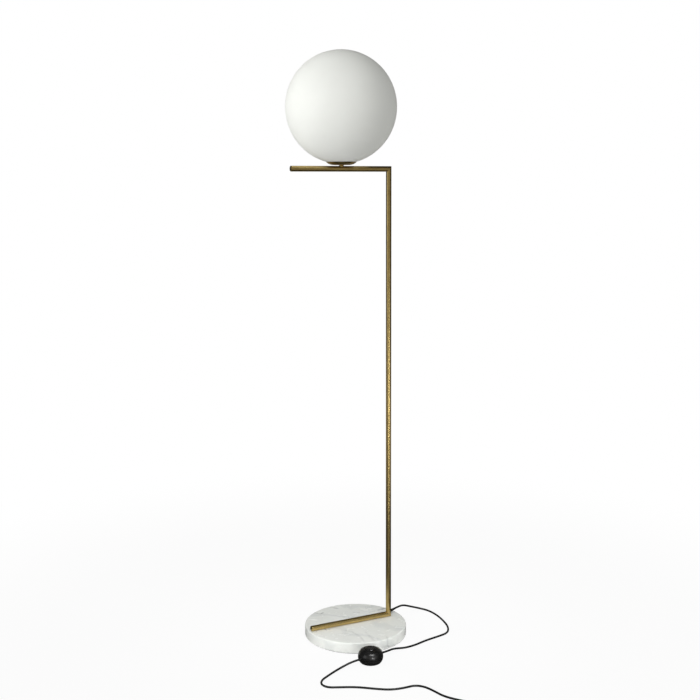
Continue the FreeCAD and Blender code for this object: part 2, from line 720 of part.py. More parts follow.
def make_plug(end):
    """A flat two-pin plug that lies beside the coil: tapered relief, body and pins."""
    half = COIL_HIGH_Z - PLUG_LIFT
    relief = Part.makeCone(RELIEF_TIP_RADIUS, PLUG_RELIEF_RADIUS, PLUG_RELIEF_LENGTH, V(0, 0, 0), ALONG_X)
    back = PLUG_RELIEF_LENGTH
    front = back + PLUG_LENGTH
    shoulder = back + 0.6 * PLUG_LENGTH
    half_widths = [(back, PLUG_NECK_WIDTH / 2), (shoulder, PLUG_WIDTH / 2), (front, PLUG_WIDTH / 2)]
    outline = [V(x, -width, -half) for x, width in half_widths]
    outline += [V(x, width, -half) for x, width in reversed(half_widths)]
    outline.append(outline[0])
    body = Part.Face(Part.makePolygon(outline)).extrude(V(0, 0, 2 * half))
    body = body.makeFillet(PLUG_EDGE_RADIUS, body.Edges)
    pins = []
    for side in (-1, 1):
        start = V(front - PIN_ROOT, side * PIN_SPACING / 2, 0)
        body = body.cut(rod(PIN_RADIUS, start, ALONG_X, PIN_ROOT + 1))
        pin = rod(PIN_RADIUS, start, ALONG_X, PIN_ROOT + PIN_LENGTH)
        tip = [edge for edge in pin.Edges if edge.CenterOfMass.x > front + PIN_LENGTH - 0.1]
        pins.append(pin.makeFillet(PIN_RADIUS / 2, [edge for edge in tip if edge.Closed]))
    placed = []
    for shape in (relief, body, Part.makeCompound(pins)):
        shape.rotate(V(0, 0, 0), UP, COIL_HEADING + 180)
        shape.translate(end)
        placed.append(shape)
    return placed


# ---------------------------------------------------------------- foot switch
# Made about its own axis with the cord along X, then turned and moved to its place.

def switch_cover_profile():
    """The outside of the cover, from the lip round the button down to the joint."""
    return [
        (BUTTON_RADIUS + BUTTON_GAP, SWITCH_LIP_Z),
        (SWITCH_LIP_RADIUS - 1.5, SWITCH_LIP_Z + 0.4),
        ((SWITCH_RADIUS - 3.4, SWITCH_LIP_Z - 6.0), (SWITCH_RADIUS - 0.1, SWITCH_JOINT_Z + 2.4)),
        (SWITCH_RADIUS, SWITCH_JOINT_Z),
    ]


def grip_holes():
    """The holes through the switch's wall for the two cord grips."""
    return rod(GRIP_RADIUS + PLAY, V(-SWITCH_RADIUS - 5, 0, GRIP_Z), ALONG_X, SWITCH_RADIUS - 15).fuse(
        rod(GRIP_RADIUS + PLAY, V(20, 0, GRIP_Z), ALONG_X, SWITCH_RADIUS - 15))


def make_switch_base():
    """The lower shell, with two posts that the screws pass through."""
    wall = SWITCH_WALL
    foot = SWITCH_FOOT_RADIUS
    floor_z = SWITCH_PAD + wall
    top = SWITCH_JOINT_Z - SWITCH_JOINT_GAP
    middle_z = (floor_z + top) / 2
    base = turned([
        (0, SWITCH_PAD),
        (foot - 1.0, SWITCH_PAD),
        (foot, SWITCH_PAD + 1.0),
        ((SWITCH_RADIUS - 1.8, middle_z), (SWITCH_RADIUS, top)),
        (SWITCH_RADIUS - wall, top),
        ((SWITCH_RADIUS - 1.8 - wall, middle_z + 0.4), (foot - wall + 0.4, floor_z)),
        (0, floor_z),
    ])
    for side in (-1, 1):
        y = side * SCREW_SPACING / 2
        base = base.fuse(upright(POST_RADIUS, floor_z - 0.5, top, 0, y))
        base = base.cut(upright(SCREW_RADIUS + 0.1, 0, top, 0, y))
        base = base.cut(upright(SCREW_HEAD_RADIUS + 0.1, 0, SWITCH_PAD + 1.0, 0, y))
    return base.cut(grip_holes())


def make_switch_cover():
    """The domed upper shell, with the hole for the button and two blind posts."""
    outside = switch_cover_profile()
    wall = SWITCH_WALL
    hole = BUTTON_RADIUS + BUTTON_GAP
    cover = turned(outside + [
        (SWITCH_RADIUS - wall, SWITCH_JOINT_Z),
        ((SWITCH_RADIUS - wall - 3.4, SWITCH_LIP_Z - 7.2), (SWITCH_LIP_RADIUS - 0.4, SWITCH_LIP_Z - wall)),
        (hole, SWITCH_LIP_Z - wall),
    ])
    filled = turned([(0, SWITCH_LIP_Z)] + outside + [(0, SWITCH_JOINT_Z)])
    for side in (-1, 1):
        y = side * SCREW_SPACING / 2
        post = upright(POST_RADIUS, SWITCH_JOINT_Z, SWITCH_LIP_Z - 3.0, 0, y)
        cover = cover.fuse(post.common(filled))
        cover = cover.cut(upright(SCREW_RADIUS, SWITCH_JOINT_Z, SCREW_TOP_Z, 0, y))
    return cover.cut(grip_holes())


def make_switch_button():
    """The round button: a crowned cap, a flange under the cover's lip, a boss and a plunger."""
    flange_top = SWITCH_LIP_Z - SWITCH_WALL - 0.3
    crown = SWITCH_HEIGHT
    inside = BUTTON_RADIUS - 1.6
    rim = BUTTON_RADIUS - 1.5
    sag = 0.7
    crown_radius = (rim ** 2 + sag ** 2) / (2 * sag)
    middle_drop = crown_radius - math.sqrt(crown_radius ** 2 - (rim / 2) ** 2)
    cap = turned([
        (0, crown - 2.4),
        (inside, crown - 3.2),
        (inside, flange_top - BUTTON_TRAVEL),
        (BUTTON_RADIUS + 1.4, flange_top - BUTTON_TRAVEL),
        (BUTTON_RADIUS + 1.4, flange_top),
        (BUTTON_RADIUS, flange_top),
        (BUTTON_RADIUS, crown - 1.9),
        ((BUTTON_RADIUS - 0.45, crown - 1.1), (rim, crown - sag)),
        ((rim / 2, crown - middle_drop), (0, crown)),
    ])
    boss = upright(SPRING_RADIUS + 1.6, SPRING_TOP_Z + 0.05, crown - 1.5)
    plunger = upright(SPRING_RADIUS - 1.6, MECHANISM_TOP_Z + BUTTON_TRAVEL + 0.3, crown - 1.5)
    return cap.fuse(boss).fuse(plunger)


def make_switch_spring():
    """The return spring, a helix made of quarter turns."""
    quarters = 4 * SPRING_TURNS
    low = MECHANISM_TOP_Z + SPRING_WIRE_RADIUS + 0.05
    rise = (SPRING_TOP_Z - SPRING_WIRE_RADIUS - low) / quarters
    slope = rise / (SPRING_RADIUS * math.pi / 2)

    def place(quarter):
        tangent = plan_direction(90 * quarter + 90) + UP * slope
        tangent.normalize()
        return around(90 * quarter, SPRING_RADIUS, 0, 0, low + rise * quarter), tangent

    edges = []
    for quarter in range(quarters):
        edges += biarc(*place(quarter), *place(quarter + 1))
    return swept(Part.Wire(edges), SPRING_WIRE_RADIUS)


def make_switch_inside():
    """The mechanism's block, its contact tabs and the wires that join them to the cord."""
    floor_z = SWITCH_PAD + SWITCH_WALL
    length = MECHANISM_LENGTH
    block = Part.makeBox(length, MECHANISM_WIDTH, MECHANISM_TOP_Z - floor_z,
                         V(-length / 2, -MECHANISM_WIDTH / 2, floor_z))
    tabs = []
    wires = []
    for side in (-1, 1):
        low_x = length / 2 if side > 0 else -length / 2 - TAB_LENGTH
        tabs.append(Part.makeBox(TAB_LENGTH, 6.0, TAB_THICKNESS, V(low_x, -3.0, TAB_Z)))
        for offset in (-LEAD_OFFSET, LEAD_OFFSET):
            level = TAB_Z + TAB_THICKNESS + LEAD_RADIUS
            path, _ = rounded_path([
                (side * (GRIP_INNER_REACH - 0.1), offset, GRIP_Z),
                (side * 21.0, offset, GRIP_Z),
                (side * 17.5, offset, level),
                (side * 13.5, offset, level),
            ], LEAD_BEND / 2)
            wires.append(swept(path, LEAD_RADIUS))
    return block, Part.makeCompound(tabs), Part.makeCompound(wires)


def make_switch_grips():
    """Two rubber grips where the cord enters: a flange inside the wall, a neck and a tail."""
    grips = []
    for side in (-1, 1):
        direction = ALONG_X * side
        flange = rod(GRIP_RADIUS + 1.0, direction * GRIP_INNER_REACH + UP * GRIP_Z, direction, 1.4)
        neck_length = GRIP_TAIL_START - GRIP_INNER_REACH
        neck = rod(GRIP_RADIUS, direction * GRIP_INNER_REACH + UP * GRIP_Z, direction, neck_length)
        tail = Part.makeCone(GRIP_RADIUS, RELIEF_TIP_RADIUS, GRIP_REACH - GRIP_TAIL_START,
                             direction * GRIP_TAIL_START + UP * GRIP_Z, direction)
        grips.append(flange.fuse(neck).fuse(tail))
    return Part.makeCompound(grips)


def make_switch():
    """All pieces of the foot switch in place, by name."""
    screws = []
    for side in (-1, 1):
        y = side * SCREW_SPACING / 2
        head_top = SWITCH_PAD + 0.95
        screw = upright(SCREW_RADIUS - PLAY, SWITCH_PAD + 0.1, SCREW_TOP_Z - 0.4, 0, y)
        screws.append(screw.fuse(upright(SCREW_HEAD_RADIUS, SWITCH_PAD + 0.1, head_top, 0, y)))
    block, tabs, wires = make_switch_inside()
    pieces = {
        "switch_pad": ring(SWITCH_FOOT_RADIUS - 2.0, 8.0, 0, SWITCH_PAD),
        "switch_base": make_switch_base(),
        "switch_cover": make_switch_cover(),
        "switch_button": make_switch_button(),
        "switch_spring": make_switch_spring(),
        "switch_mechanism": block,
        "switch_contacts": tabs,
        "switch_wires": wires,
        "switch_screws": Part.makeCompound(screws),
        "switch_grips": make_switch_grips(),
    }
    for shape in pieces.values():
        shape.rotate(V(0, 0, 0), UP, SWITCH_ANGLE)
        shape.translate(V(SWITCH_X, SWITCH_Y, 0))
    return pieces


# ---------------------------------------------------------------- all nodes

def main():
    os.makedirs("parts", exist_ok=True)
    pieces = {"marble_base": make_marble()}
    pieces["felt_pad"] = upright(BASE_RADIUS - PAD_INSET, 0, PAD_THICKNESS)
    for x in BOLT_X:
        pieces["felt_pad"] = pieces["felt_pad"].cut(upright(BOLT_POCKET_RADIUS, 0, PAD_THICKNESS, x))
    pieces["base_bolts"], pieces["base_washers"], pieces["arm_plugs"] = make_base_fixings()
    pieces["upper_arm"], pieces["pole"], pieces["lower_arm"] = make_tubes()
    pieces["upper_elbow_sleeve"] = make_sleeve(UPPER_ARM_AXIS_Z, 1)
    pieces["lower_elbow_sleeve"] = make_sleeve(LOWER_ARM_AXIS_Z, -1).cut(exit_hole())
    pieces["upper_arm_cap"] = make_end_cap(UPPER_ARM_END_X, UPPER_ARM_AXIS_Z)
    pieces["lower_arm_cap"] = make_end_cap(LOWER_ARM_END_X, LOWER_ARM_AXIS_Z)
    pieces["stem"] = make_stem()
    pieces["stem_anchor"] = make_stem_anchor()
    pieces["brass_dish"] = make_dish()
    pieces["glass_globe"] = make_globe()
    fittings = make_globe_fittings()
    for name, shape in zip(("globe_collar", "collar_bond", "neck_washer", "threaded_cup"), fittings):
        pieces[name] = shape
    names = ("holder_cap", "holder_skirt", "holder_core", "screw_shell", "centre_contact",
             "holder_terminals", "stem_nut")
    for name, shape in zip(names, make_holder()):
        pieces[name] = shape
    pieces["bulb_glass"], pieces["bulb_cap"], pieces["bulb_contact"] = make_bulb()
    pieces["inner_leads"] = make_leads()
    pieces["strain_relief"] = make_strain_relief()
    pieces["cord_lamp_side"] = make_cord("cord_lamp_side", LAMP_ROUTE)
    pieces["cord_plug_side"] = make_cord("cord_plug_side", PLUG_ROUTE)
    pieces["cord_coil"], coil_end = make_coil()
    pieces["cord_tie"] = make_tie()
    pieces["plug_relief"], pieces["plug_body"], pieces["plug_pins"] = make_plug(coil_end)
    pieces.update(make_switch())
    for name, shape in pieces.items():
        write(name, shape)
    print(len(pieces), "nodes, invalid:", [name for name, shape in pieces.items() if not shape.isValid()])


main()
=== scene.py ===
import json
import math

import bmesh
import bpy
from bpy.props import FloatProperty, FloatVectorProperty, PointerProperty
from mathutils import Matrix, Vector


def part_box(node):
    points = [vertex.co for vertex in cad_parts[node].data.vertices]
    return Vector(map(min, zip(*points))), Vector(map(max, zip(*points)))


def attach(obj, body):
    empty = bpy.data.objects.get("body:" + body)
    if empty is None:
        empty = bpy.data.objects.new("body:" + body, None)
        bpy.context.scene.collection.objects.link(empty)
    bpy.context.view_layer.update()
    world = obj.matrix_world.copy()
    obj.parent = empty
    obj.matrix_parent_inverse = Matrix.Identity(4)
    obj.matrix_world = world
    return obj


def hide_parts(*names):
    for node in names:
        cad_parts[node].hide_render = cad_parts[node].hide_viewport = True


bl_info = {
    "name": "Globe Floor Lamp",
    "version": (1, 0, 0),
    "blender": (4, 5, 0),
    "location": "View3D > Sidebar > Lamp",
    "description": "Builds an opal globe floor lamp with a brass frame, a marble base and a foot switch",
    "category": "Add Mesh",
}

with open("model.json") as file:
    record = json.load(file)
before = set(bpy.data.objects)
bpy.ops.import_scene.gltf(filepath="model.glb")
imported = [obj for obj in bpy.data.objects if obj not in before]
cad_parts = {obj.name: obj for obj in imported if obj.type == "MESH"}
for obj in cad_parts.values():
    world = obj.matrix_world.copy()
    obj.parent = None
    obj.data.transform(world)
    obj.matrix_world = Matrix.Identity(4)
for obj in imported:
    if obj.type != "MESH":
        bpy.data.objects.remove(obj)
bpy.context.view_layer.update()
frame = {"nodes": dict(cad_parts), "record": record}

MM = 0.001
UP = Vector((0, 0, 1))


# ---- sizes taken from the frame

def span(node, axis):
    """Lowest and highest value of a CAD node along an axis, 0 to 2."""
    low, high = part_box(node)
    return low[axis], high[axis]


def middle(node, axis):
    low, high = span(node, axis)
    return (low + high) / 2


def half(node, axis):
    """Half of a CAD node's size along an axis, which is a round piece's radius."""
    low, high = span(node, axis)
    return (high - low) / 2


POLE_X = middle("pole", 0)
TUBE_RADIUS = half("pole", 1)
UPPER_Z = middle("upper_arm", 2)
LOWER_Z = middle("lower_arm", 2)
GLOBE_X = middle("brass_dish", 0)
GLOBE_RADIUS = half("glass_globe", 0)
GLOBE_BOTTOM_Z, GLOBE_TOP_Z = span("glass_globe", 2)
GLOBE_CENTRE_Z = GLOBE_TOP_Z - GLOBE_RADIUS
BASE_LOW, BASE_TOP = span("marble_base", 2)
BASE_RADIUS = half("marble_base", 0)
SWITCH_X = middle("switch_button", 0)
SWITCH_Y = middle("switch_button", 1)
SWITCH_RADIUS = half("switch_cover", 0)
SWITCH_TOP = span("switch_button", 2)[1]


# ---- settings that a user would change

class LampSettings(bpy.types.PropertyGroup):
    """Sizes and colours of the lamp."""
    glass_colour: FloatVectorProperty(
        name="Glass colour", description="Colour of the opal glass",
        subtype="COLOR", size=3, default=(0.905, 0.92, 0.875))
    glass_wall: FloatProperty(
        name="Glass wall", description="Thickness of the blown glass", unit="LENGTH", default=3 * MM)
    brass_colour: FloatVectorProperty(
        name="Brass colour", description="Colour of the brushed brass",
        subtype="COLOR", size=3, default=(0.59, 0.44, 0.175))
    patina_colour: FloatVectorProperty(
        name="Patina colour", description="Colour of the darker patina in the brass",
        subtype="COLOR", size=3, default=(0.30, 0.20, 0.07))
    brass_roughness: FloatProperty(
        name="Brass roughness", description="How satin the brass is", subtype="FACTOR", default=0.27)
    marble_colour: FloatVectorProperty(
        name="Marble colour", description="Ground colour of the marble",
        subtype="COLOR", size=3, default=(0.86, 0.875, 0.84))
    vein_colour: FloatVectorProperty(
        name="Vein colour", description="Colour of the marble's dark veins",
        subtype="COLOR", size=3, default=(0.16, 0.17, 0.18))
    cord_colour: FloatVectorProperty(
        name="Cord colour", description="Colour of the cord's sheath",
        subtype="COLOR", size=3, default=(0.006, 0.006, 0.006))
    cord_diameter: FloatProperty(
        name="Cord diameter", description="Diameter of the cord", unit="LENGTH", default=4.6 * MM)
    switch_colour: FloatVectorProperty(
        name="Switch colour", description="Colour of the foot switch and the plug",
        subtype="COLOR", size=3, default=(0.007, 0.007, 0.007))


class StageSettings(bpy.types.PropertyGroup):
    """Floor, light and background."""
    floor_colour: FloatVectorProperty(
        name="Floor colour", description="Colour of the floor",
        subtype="COLOR", size=3, default=(0.86, 0.86, 0.86))
    shadow_strength: FloatProperty(
        name="Shadow strength", description="How much of the floor's own shading shows",
        subtype="FACTOR", default=0.09)
    fill_strength: FloatProperty(
        name="Fill strength", description="Strength of the even light from all sides", default=0.49)
    key_power: FloatProperty(
        name="Key power", description="Power of the large soft light on the globe", unit="POWER", default=8.0)
    rim_power: FloatProperty(
        name="Rim power", description="Power of the soft light behind on the left", unit="POWER", default=4.0)
    base_power: FloatProperty(
        name="Base power", description="Power of the soft light on the base", unit="POWER", default=1.65)
    low_power: FloatProperty(
        name="Low power", description="Power of the low light in front of the base",
        unit="POWER", default=1.25)
    card_brightness: FloatProperty(
        name="Card brightness", description="Brightness of the dark cards in reflections", default=0.035)
    front_brightness: FloatProperty(
        name="Front brightness", description="Brightness of the front card in reflections", default=0.32)
    back_brightness: FloatProperty(
        name="Back brightness", description="Brightness of the back card in reflections", default=0.16)


# ---- mesh helpers

MERGE_GAP = 1e-7


def link(name, data):
    made = bpy.data.objects.new(name, data)
    bpy.context.scene.collection.objects.link(made)
    return made


def from_bmesh(name, shape, sharp_angle=35.0, outward=True):
    """A linked object from a bmesh, with smooth faces and sharp edges past an angle."""
    bmesh.ops.remove_doubles(shape, verts=shape.verts, dist=MERGE_GAP)
    if outward:
        bmesh.ops.recalc_face_normals(shape, faces=shape.faces)
    mesh = bpy.data.meshes.new(name)
    shape.to_mesh(mesh)
    shape.free()
    mesh.shade_smooth()
    mesh.set_sharp_from_angle(angle=math.radians(sharp_angle))
    return link(name, mesh)


def plain_mesh(piece):
    """The mesh that an object gives once its modifiers and its curve are worked out."""
    bpy.context.view_layer.update()
    return bpy.data.meshes.new_from_object(piece.evaluated_get(bpy.context.evaluated_depsgraph_get()))


def circle(radius, segments):
    """Points (x, y) round a circle."""
    angles = [2 * math.pi * step / segments for step in range(segments)]
    return [(radius * math.cos(angle), radius * math.sin(angle)) for angle in angles]


def arc(centre, radius, start, end, steps):
    """Points (r, z) on an arc, by angles in degrees from +r towards +z."""
    points = []
    for step in range(steps + 1):
        angle = math.radians(start + (end - start) * step / steps)
        points.append((centre[0] + radius * math.cos(angle), centre[1] + radius * math.sin(angle)))
    return points


def arc_through(first, middle_point, last, steps):
    """Points (r, z) on the arc through three points, each with no rounding of its own."""
    (ax, ay), (bx, by), (cx, cy) = first, middle_point, last
    scale = 2 * (ax * (by - cy) + bx * (cy - ay) + cx * (ay - by))
    a, b, c = ax * ax + ay * ay, bx * bx + by * by, cx * cx + cy * cy
    x = (a * (by - cy) + b * (cy - ay) + c * (ay - by)) / scale
    y = (a * (cx - bx) + b * (ax - cx) + c * (bx - ax)) / scale
    start = math.degrees(math.atan2(ay - y, ax - x))
    end = math.degrees(math.atan2(cy - y, cx - x))
    return [(*point, 0) for point in arc((x, y), math.hypot(ax - x, ay - y), start, end, steps)]


def softened(points, steps, closed=False):
    """Rounds the corners of an (r, z) outline. A corner's own radius is its third value."""
    nearly_straight = math.radians(178)
    most_of_side = 0.45
    count = len(points)
    made = []
    for index, point in enumerate(points):
        radius = point[2] if len(point) > 2 else 0
        here = Vector(point[:2])
        before = Vector(points[index - 1][:2]) - here
        after = Vector(points[(index + 1) % count][:2]) - here
        is_end = not closed and index in (0, count - 1)
        if radius <= 0 or is_end or before.angle(after, math.pi) > nearly_straight:
            made.append(tuple(here))
            continue
        reach = min(radius / math.tan(before.angle(after) / 2),
                    most_of_side * before.length, most_of_side * after.length)
        first = here + before.normalized() * reach
        last = here + after.normalized() * reach
        for step in range(steps + 1):
            share = step / steps
            made.append(tuple(first.lerp(here, share).lerp(here.lerp(last, share), share)))
    return made


def in_metres(outline):
    """An outline whose points are in millimetres, in metres."""
    return [tuple(value * MM for value in point) for point in outline]


def skin(shape, rings, closed):
    """Faces from each ring of corners to the next. A ring of one corner is a pole."""
    pairs = list(zip(rings, rings[1:]))
    if closed:
        pairs.append((rings[-1], rings[0]))
    for first, second in pairs:
        count = max(len(first), len(second))
        for step in range(count):
            after = (step + 1) % count
            corners = [first[step], first[after]] if len(first) > 1 else [first[0]]
            corners += [second[after], second[step]] if len(second) > 1 else [second[0]]
            if len(corners) > 2:
                shape.faces.new(corners)


def lathe(name, outline, x=0.0, y=0.0, segments=128, turn=None, sharp_angle=35.0):
    """Turns an (r, z) outline about a vertical axis. turn is a matrix that places the result."""
    shape = bmesh.new()
    rings = []
    for radius, height in outline:
        spots = circle(radius, segments) if radius > MERGE_GAP else [(0, 0)]
        rings.append([shape.verts.new((*spot, height)) for spot in spots])
    skin(shape, rings, closed=True)
    made = from_bmesh(name, shape, sharp_angle)
    made.data.transform(turn or Matrix.Translation((x, y, 0)))
    return made


def frame_along(start, direction):
    """A matrix that takes +X to a direction and the origin to a point."""
    turn = Vector((1, 0, 0)).rotation_difference(direction.normalized()).to_matrix().to_4x4()
    return Matrix.Translation(start) @ turn


def rounded_rectangle(half_width, half_height, corner, steps=6):
    """Points (u, v) round a rectangle with round corners."""
    points = []
    for quadrant, (sign_u, sign_v) in enumerate(((1, 1), (-1, 1), (-1, -1), (1, -1))):
        for step in range(steps + 1):
            angle = math.pi / 2 * (quadrant + step / steps)
            points.append((sign_u * (half_width - corner) + corner * math.cos(angle),
                           sign_v * (half_height - corner) + corner * math.sin(angle)))
    return points


MATERIALS = {}


def finished(piece, slot, *nodes, body="lamp", finish=None):
    """Gives a piece the material of its slot or finish, puts it on its body and hides the CAD nodes that it
    stands for.
    """
    piece.data.materials.clear()
    piece.data.materials.append(MATERIALS[finish or slot])
    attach(piece, body)
    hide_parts(*nodes)


# ---- shader helpers

# A colour mix has a set of sockets for each kind of data. These are the ones for colours.
MIX_SHARE = 0
MIX_FIRST = 6
MIX_SECOND = 7
MIX_RESULT = 2


def feed(tree, node, inputs):
    """Sets inputs of a node, each to a value or to a link from a socket."""
    for key, value in inputs.items():
        if isinstance(value, bpy.types.NodeSocket):
            tree.links.new(value, node.inputs[key])
        else:
            node.inputs[key].default_value = value
    return node


def add(tree, kind, inputs=None, **settings):
    """A new node with its settings, its values and its links."""
    made = tree.nodes.new(kind)
    for key, value in settings.items():
        setattr(made, key, value)
    return feed(tree, made, inputs or {})


def group(name, inputs, outputs=("Mask",)):
    """A new shader group that takes a place. Returns its tree, its given values and its output node."""
    tree = bpy.data.node_groups.new(name, "ShaderNodeTree")
    for key, value in {"Vector": (0, 0, 0), **inputs}.items():
        kind = "NodeSocketVector" if isinstance(value, tuple) else "NodeSocketFloat"
        tree.interface.new_socket(key, in_out="INPUT", socket_type=kind).default_value = value
    for key in outputs:
        kind = "NodeSocketVector" if key == "Normal" else "NodeSocketFloat"
        tree.interface.new_socket(key, in_out="OUTPUT", socket_type=kind)
    return tree, tree.nodes.new("NodeGroupInput").outputs, tree.nodes.new("NodeGroupOutput")


def effect(tree, name, where, **values):
    """A shared effect placed in a material with its own values. Returns its outputs."""
    inputs = {"Vector": where, **values}
    return add(tree, "ShaderNodeGroup", inputs, node_tree=bpy.data.node_groups[name]).outputs


def new_material(name, values):
    """A material with a Principled BSDF. Returns the material, its tree, the shader and the place."""
    material = bpy.data.materials.new(name)
    material.use_nodes = True
    tree = material.node_tree
    shader = feed(tree, tree.nodes["Principled BSDF"], values)
    return material, tree, shader, add(tree, "ShaderNodeTexCoord").outputs["Object"]


def mixed(tree, share, first, second):
    """A colour mix. Colours are sockets or (r, g, b)."""
    first, second = (colour if isinstance(colour, bpy.types.NodeSocket) else (*colour[:3], 1)
                     for colour in (first, second))
    inputs = {MIX_SHARE: share, MIX_FIRST: first, MIX_SECOND: second}
    return add(tree, "ShaderNodeMix", inputs, data_type="RGBA").outputs[MIX_RESULT]


def ranged(tree, value, low, high, from_low=0.0, from_high=1.0, ease="LINEAR"):
    """Takes a value from one range to another."""
    node = add(tree, "ShaderNodeMapRange", {
        "Value": value, "From Min": from_low, "From Max": from_high, "To Min": low, "To Max": high},
        interpolation_type=ease)
    return node.outputs["Result"]


def maths(tree, operation, first, second=0.0):
    return add(tree, "ShaderNodeMath", {0: first, 1: second}, operation=operation).outputs[0]


def vectors(tree, operation, first, second=None):
    """A vector sum, or the number that a length, a distance or a dot product gives."""
    inputs = {0: first}
    if second is not None:
        inputs["Scale" if operation == "SCALE" else 1] = second
    node = add(tree, "ShaderNodeVectorMath", inputs, operation=operation)
    return node.outputs["Value" if operation in ("LENGTH", "DISTANCE", "DOT_PRODUCT") else "Vector"]


def toned(colour, factor, lift=0.0):
    """A lighter or darker colour."""
    return tuple(min(1.0, part * factor + lift) for part in colour)


# ---- shared shader effects

def make_mottle_group():
    """Uneven soft patches, as a mask from 0 to 1."""
    tree, given, out = group("Mottle", {"Scale": 30.0, "Detail": 4.0, "Low": 0.35, "High": 0.65})
    noise = add(tree, "ShaderNodeTexNoise", {
        "Vector": given["Vector"], "Scale": given["Scale"], "Detail": given["Detail"], "Roughness": 0.55})
    mask = ranged(tree, noise.outputs[0], 0.0, 1.0, given["Low"], given["High"], "SMOOTHSTEP")
    feed(tree, out, {"Mask": mask})


def put_out_relief(tree, given, out, noise, depth):
    """Puts out a noise as a mask, and as the normal of a surface of that depth."""
    fine = add(tree, "ShaderNodeTexNoise", noise).outputs[0]
    bump = add(tree, "ShaderNodeBump", {"Strength": given["Strength"], "Distance": depth, "Height": fine})
    feed(tree, out, {"Mask": fine, "Normal": bump.outputs["Normal"]})


def make_brushed_group():
    """Fine lines along one direction, which the stretch sets, as a mask and a normal."""
    line_depth = 0.08 * MM
    tree, given, out = group("Brushed", {"Stretch": (1, 1, 1), "Strength": 0.15}, ("Mask", "Normal"))
    stretched = vectors(tree, "MULTIPLY", given["Vector"], given["Stretch"])
    put_out_relief(tree, given, out, {
        "Vector": stretched, "Scale": 1.0, "Detail": 6.0, "Roughness": 0.7}, line_depth)


def make_grain_group():
    """The fine grain of a moulded or blown surface, as a mask and a normal."""
    tree, given, out = group(
        "Grain", {"Scale": 900.0, "Depth": 0.00005, "Strength": 0.2}, ("Mask", "Normal"))
    put_out_relief(tree, given, out, {
        "Vector": given["Vector"], "Scale": given["Scale"], "Detail": 3.0}, given["Depth"])


def make_vein_group():
    """One straight vein between two points, as a mask from 0 to 1 that fades to its sides."""
    tree, given, out = group("Vein", {"From": (0, 0, 0), "To": (1, 0, 0), "Width": 0.002})
    reach = vectors(tree, "SUBTRACT", given["To"], given["From"])
    offset = vectors(tree, "SUBTRACT", given["Vector"], given["From"])
    along = vectors(tree, "DOT_PRODUCT", offset, reach)
    square = vectors(tree, "DOT_PRODUCT", reach, reach)
    share = add(tree, "ShaderNodeClamp", {"Value": maths(tree, "DIVIDE", along, square)}).outputs[0]
    gap = vectors(tree, "DISTANCE", offset, vectors(tree, "SCALE", reach, share))
    fall = maths(tree, "DIVIDE", gap, given["Width"])
    feed(tree, out, {"Mask": ranged(tree, fall, 0.0, 1.0, 1.0, 0.0, "SMOOTHERSTEP")})


# ---- materials

def brass_material(name, stretch):
    """Satin brass with a darker patina. stretch sets the direction of the brushing."""
    settings = bpy.context.scene.lamp
    rough = settings.brass_roughness
    material, tree, shader, where = new_material(name, {"Metallic": 1.0})
    patina = effect(tree, "Mottle", where, Scale=38.0, Low=0.40, High=0.72)["Mask"]
    brushed = effect(tree, "Brushed", where, Stretch=stretch, Strength=0.22)
    tint = mixed(tree, ranged(tree, patina, 0.0, 0.30), settings.brass_colour, settings.patina_colour)
    lines = ranged(tree, brushed["Mask"], 0.86, 1.12, 0.25, 0.75)
    feed(tree, shader, {
        "Base Color": vectors(tree, "SCALE", tint, lines),
        "Roughness": ranged(tree, brushed["Mask"], rough - 0.06, rough + 0.10, 0.3, 0.7),
        "Normal": brushed["Normal"]})
    return material


# Dark veins on the disc, in metres on its top: from, to, half width, darkness
VEINS = [
    ((-0.064, 0.103), (-0.054, 0.087), 0.0030, 0.60),
    ((-0.054, 0.087), (-0.044, 0.091), 0.0026, 0.75),
    ((-0.014, 0.113), (-0.002, 0.099), 0.0050, 0.36),
    ((0.024, 0.061), (0.037, 0.052), 0.0032, 0.50),
    ((0.058, 0.043), (0.074, 0.044), 0.0030, 0.46),
    ((0.085, 0.045), (0.105, 0.048), 0.0060, 0.62),
    ((-0.083, 0.000), (-0.081, -0.010), 0.0026, 0.75),
    ((-0.081, -0.010), (-0.072, -0.009), 0.0022, 0.60),
    ((-0.117, -0.003), (-0.112, -0.011), 0.0020, 0.50),
    ((-0.112, -0.011), (-0.104, -0.007), 0.0020, 0.55),
    ((-0.041, -0.032), (-0.031, -0.044), 0.0060, 0.20),
    ((-0.031, -0.044), (-0.028, -0.078), 0.0050, 0.22),
    ((-0.028, -0.078), (-0.031, -0.104), 0.0050, 0.22),
    ((-0.005, -0.062), (-0.009, -0.114), 0.0060, 0.18),
    ((0.030, -0.107), (0.025, -0.122), 0.0040, 0.22),
]
CLOUD_GREY = (0.60, 0.63, 0.60)
FLECK_GREY = (0.52, 0.54, 0.53)
BAND_GREY = (0.50, 0.53, 0.54)


